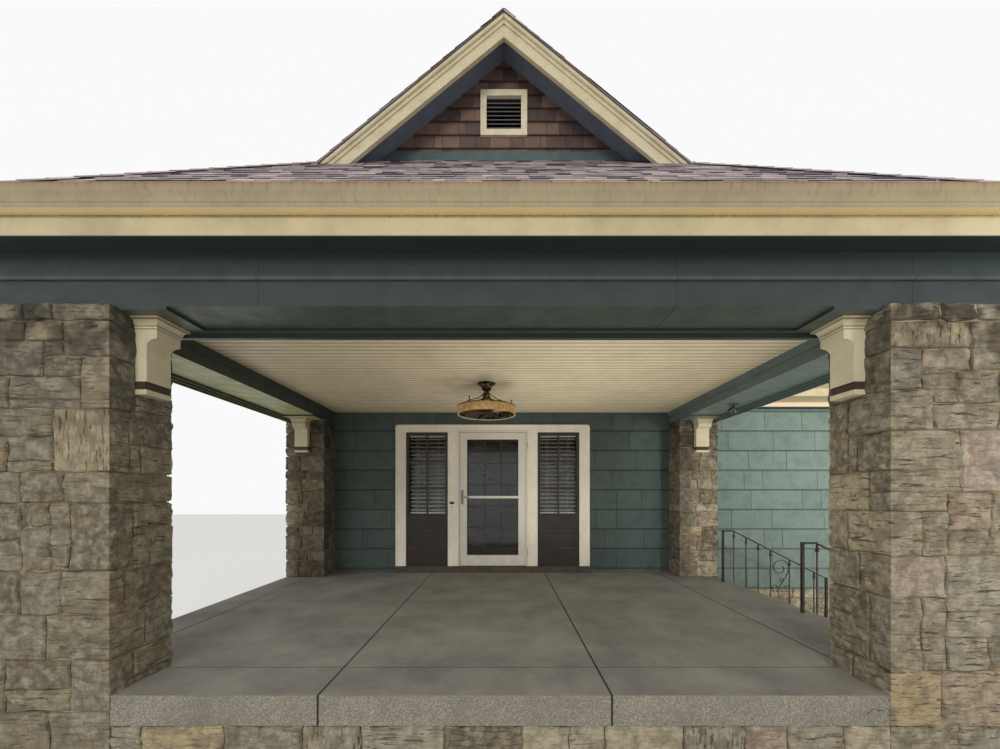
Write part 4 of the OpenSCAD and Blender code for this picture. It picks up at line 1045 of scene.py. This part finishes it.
def raking(name, side, finish, boxes, rounding):
    """Boards that run up one slope of the gable, given by depth from the rake's face and by how far
    they hang under the shingles, mitred at the peak and scribed to the main roof."""
    ends = sorted((-0.3 * side, 2.4 * side))
    piece = start(name, [((ends[0], y0, -low), (ends[1], y1, -high))
                         for y0, y1, high, low in boxes], finish)
    place(piece, (GABLE_X, RAKE_Y, GABLE_COVER), (1, 0, -side * GABLE_PITCH),
          (side * GABLE_PITCH, 0, 1))
    cut(piece, (((GABLE_X, 0, 0), (-side, 0, 0)), on_roof))
    ease(piece, rounding, 3)
    return piece


rakes = []
for side, hand in ((-1, "left"), (1, "right")):
    rakes.append(raking(f"rake_face_{hand}", side, cream, [
        (0.0, 0.04, 0.0113, 0.1535), (-0.012, 0.001, 0.043, 0.0705)], 0.003))
    rakes.append(raking(f"rake_crown_{hand}", side, cream, [(-0.034, 0.001, 0.0115, 0.044)], 0.011))
    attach(raking(f"gable_deck_{hand}", side, gable_green, [(0.041, 1.59, 0.0105, 0.045)], 0.002),
            "porch")
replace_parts(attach(join("rake_mouldings", rakes), "porch"), "rake_boards")


def ridge_caps(name, foot, head, slopes, lift):
    """Cap shingles folded over a hip or ridge: one strip on each slope, lapped from the foot up."""
    wide, exposure = 0.128, 0.143
    foot, head = Vector(foot), Vector(head)
    way = (head - foot).normalized()
    rows = math.ceil((head - foot).length / exposure)
    strips = []
    for number, outward in enumerate(slopes):
        outward = Vector(outward).normalized()
        across = (-outward).cross(way)
        start_at = foot + outward * lift - across * (0.0 if number == 0 else wide)
        strips.append(lapped(f"{name}_{number}", roofing, (wide, exposure, 0.005), start_at, across,
                             way, (1, rows), ((head, way),), 91 + number, 0.0, 0.001, 0.02,
                             0.002, 0.0, 0.0))
    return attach(join(name, strips), "porch")


front_up, left_up, right_up = (0, -ROOF_PITCH, 1), (-ROOF_PITCH, 0, 1), (ROOF_PITCH, 0, 1)
peak = (0, RIDGE_Y, EAVE_Z + ROOF_PITCH * ROOF_X)
for side, hand, slopes in ((-1, "left", (front_up, left_up)), (1, "right", (right_up, front_up))):
    caps = ridge_caps(f"hip_caps_{hand}", (side * ROOF_X, ROOF_Y, EAVE_Z), peak, slopes, 0.0115)
    cut(caps, (((side * (ROOF_X + 0.01), 0, 0), (side, 0, 0)), ((0, ROOF_Y - 0.01, 0), (0, -1, 0)),
               below(RIDGE_Z)))
caps = ridge_caps("ridge_caps", peak, (0, BACK_Y, peak[2]), (right_up, left_up), 0.002)
cut(caps, (below(RIDGE_Z),))
ridge_caps("gable_ridge_caps", (GABLE_X, VERGE_Y - 0.005, GABLE_COVER),
           (GABLE_X, 2.7, GABLE_COVER), ((GABLE_PITCH, 0, 1), (-GABLE_PITCH, 0, 1)), 0.006)

# Beaded ceiling boards, one shaped and arrayed
plank = start("ceiling_boards", [((-2.555, BOARDS_Y, CEILING_Z - 0.007),
                                  (2.555, BOARDS_Y + 0.082, CEILING_Z + 0.002))], cream_ceiling)


def along_face(edge):
    """True for a long edge of the plank's lower face."""
    first, second = (plank.data.vertices[i].co for i in edge.vertices)
    return abs(first.x - second.x) > 1 and first.z < CEILING_Z - 0.001


pick(plank, along_face, "EDGE")
bpy.ops.mesh.bevel(offset=0.006, segments=2)
repeat(plank, 41, (0, BEADBOARD, 0))
cut(plank, (((0, WALL_Y, 0), (0, 1, 0)),))
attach(plank, "porch")

# The entrance

def mirrored(side, x0, x1, y0, y1, z0, z1):
    """Corners of a box given from the door's centre, on its left or right."""
    ends = sorted((DOOR_X + side * x0, DOOR_X + side * x1))
    return (ends[0], y0, z0), (ends[1], y1, z1)


boards("wing_frieze_moulding", [((3.036, 3.772, 3.176), (WING_END, WALL_Y, 3.2155))], green, 0.006)
boards("storm_frame_bars", [
    mirrored(-1, 0.505, 0.532, 3.767, STORM_Y, 0.8, 2.853),
    mirrored(1, 0.512, 0.538, 3.767, STORM_Y, 0.8, 2.853),
    mirrored(1, -0.505, 0.512, 3.767, STORM_Y, 2.827, 2.853)], white)
boards("storm_door_beads", [
    *(mirrored(side, 0.391, 0.458, STORM_Y, 3.7805, 0.842, 2.777) for side in (-1, 1)),
    mirrored(1, -0.391, 0.391, STORM_Y, 3.7805, 0.842, 0.959),
    mirrored(1, -0.391, 0.391, STORM_Y, 3.7805, 2.719, 2.777)], white, 0.0015, "storm_door")
bars = [mirrored(1, x - 0.011, x + 0.011, y0, y1, 1.04, 2.7)
        for x in (-0.128, 0.128) for y0, y1 in ((3.889, 3.9), (3.905, 3.916))]
bars += [mirrored(1, -0.385, 0.385, y0, y1, z - 0.011, z + 0.011)
         for z in (1.372, 1.704, 2.036, 2.368) for y0, y1 in ((3.8893, 3.9), (3.905, 3.9157))]
boards("inner_door_glazing_bars", bars, brown, 0.003, "inner_door")
bars, slats, cords, room_shade_panels = [], [], [], []
for side in (-1, 1):
    bars.append(mirrored(side, 0.988, 1.014, 3.808, 3.822, 1.578, 2.787))
    bars += [mirrored(side, 0.724, 1.278, 3.8083, 3.822, z - 0.013, z + 0.013)
             for z in (1.981, 2.384)]
    slats += [mirrored(side, 0.732, 1.27, 3.852, 3.914, z - 0.0012, z + 0.0012)
              for z in [1.655 + 0.0605 * i for i in range(19)]]
    cords += [mirrored(side, x - 0.0015, x + 0.0015, 3.8815, 3.8845, 1.61, 2.76)
              for x in (0.84, 1.16)]
    cords.append(mirrored(side, 0.73, 1.272, 3.862, 3.904, 1.588, 1.612))
    cords.append(mirrored(side, 0.728, 1.274, 3.855, 3.91, 2.768, 2.784))
    room_shade_panels.append(mirrored(side, 0.684, 1.318, 3.95, 3.96, FLOOR_Z + 0.1, 2.82))
boards("sidelight_glazing_bars", bars, brown)
# The slats are tilted by 19 mm
blind = start("blind_slats", slats, slat)
pick(blind, lambda v: v.co.y < 3.88, "VERT")
bpy.ops.transform.translate(value=(0, 0, -0.019))
ease(blind, 0.0008, 1)
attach(blind, "porch")
boards("blind_rails_and_cords", cords, slat, 0.001)
# Dark panels behind the blinds: painted shade for the unlit room
boards("sidelight_room_shade_panels", room_shade_panels, dark_glass_and_room_shade, 0.003)
boards("sidelight_panel_beads", [
    mirrored(side, 0.726, 1.28, 3.796, 3.801, z - 0.019, z - 0.006)
    for side in (-1, 1) for z in (1.084, 1.349)], sill)
boards("casing_back_band", [
    *(mirrored(side, 1.447, 1.4755, 3.767, WALL_Y, 0.794, 2.9425) for side in (-1, 1)),
    mirrored(1, -1.4755, 1.4755, 3.767, WALL_Y, 2.9145, 2.9425)], frame_white, 0.004)

# Doorbell on the left mullion: a dark head over a pale button plate
boards("doorbell_plate", [((-0.792, 3.757, 1.65), (-0.724, STORM_Y, 1.735))], slat, 0.006)
boards("doorbell_button", [((-0.767, 3.7525, 1.6825), (-0.749, 3.758, 1.7005))], nickel)
boards("doorbell_head", [((-0.792, 3.756, 1.737), (-0.724, STORM_Y, 1.77))], dark_glass_and_room_shade, 0.006)


def ring(name, radius, wide, low, high, finish):
    """A band spun round the fan's axis."""
    x, y = FAN
    piece = start(name, [((x + radius - wide, y - 0.0005, low), (x + radius, y + 0.0005, high))],
                  finish)
    pick(piece, lambda face: face.normal.y < -0.5)
    bpy.ops.mesh.select_all(action="INVERT")
    bpy.ops.mesh.delete(type="ONLY_FACE")
    bpy.ops.mesh.select_mode(type="EDGE")
    bpy.ops.mesh.select_all(action="SELECT")
    bpy.ops.mesh.delete_loose()
    bpy.ops.mesh.select_all(action="SELECT")
    bpy.ops.mesh.spin(steps=64, angle=2 * math.pi, center=(x, y, low), axis=UP)
    bpy.ops.mesh.select_all(action="SELECT")
    bpy.ops.mesh.remove_doubles(threshold=0.0002)
    bpy.ops.mesh.normals_make_consistent(inside=False)
    leave()
    ease(piece, 0.0012)
    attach(piece, "porch")


ring("drum_top_trim", 0.3295, 0.004, 2.857, 2.869, bronze)
ring("drum_low_trim", 0.3223, 0.006, 2.7755, 2.784, white)
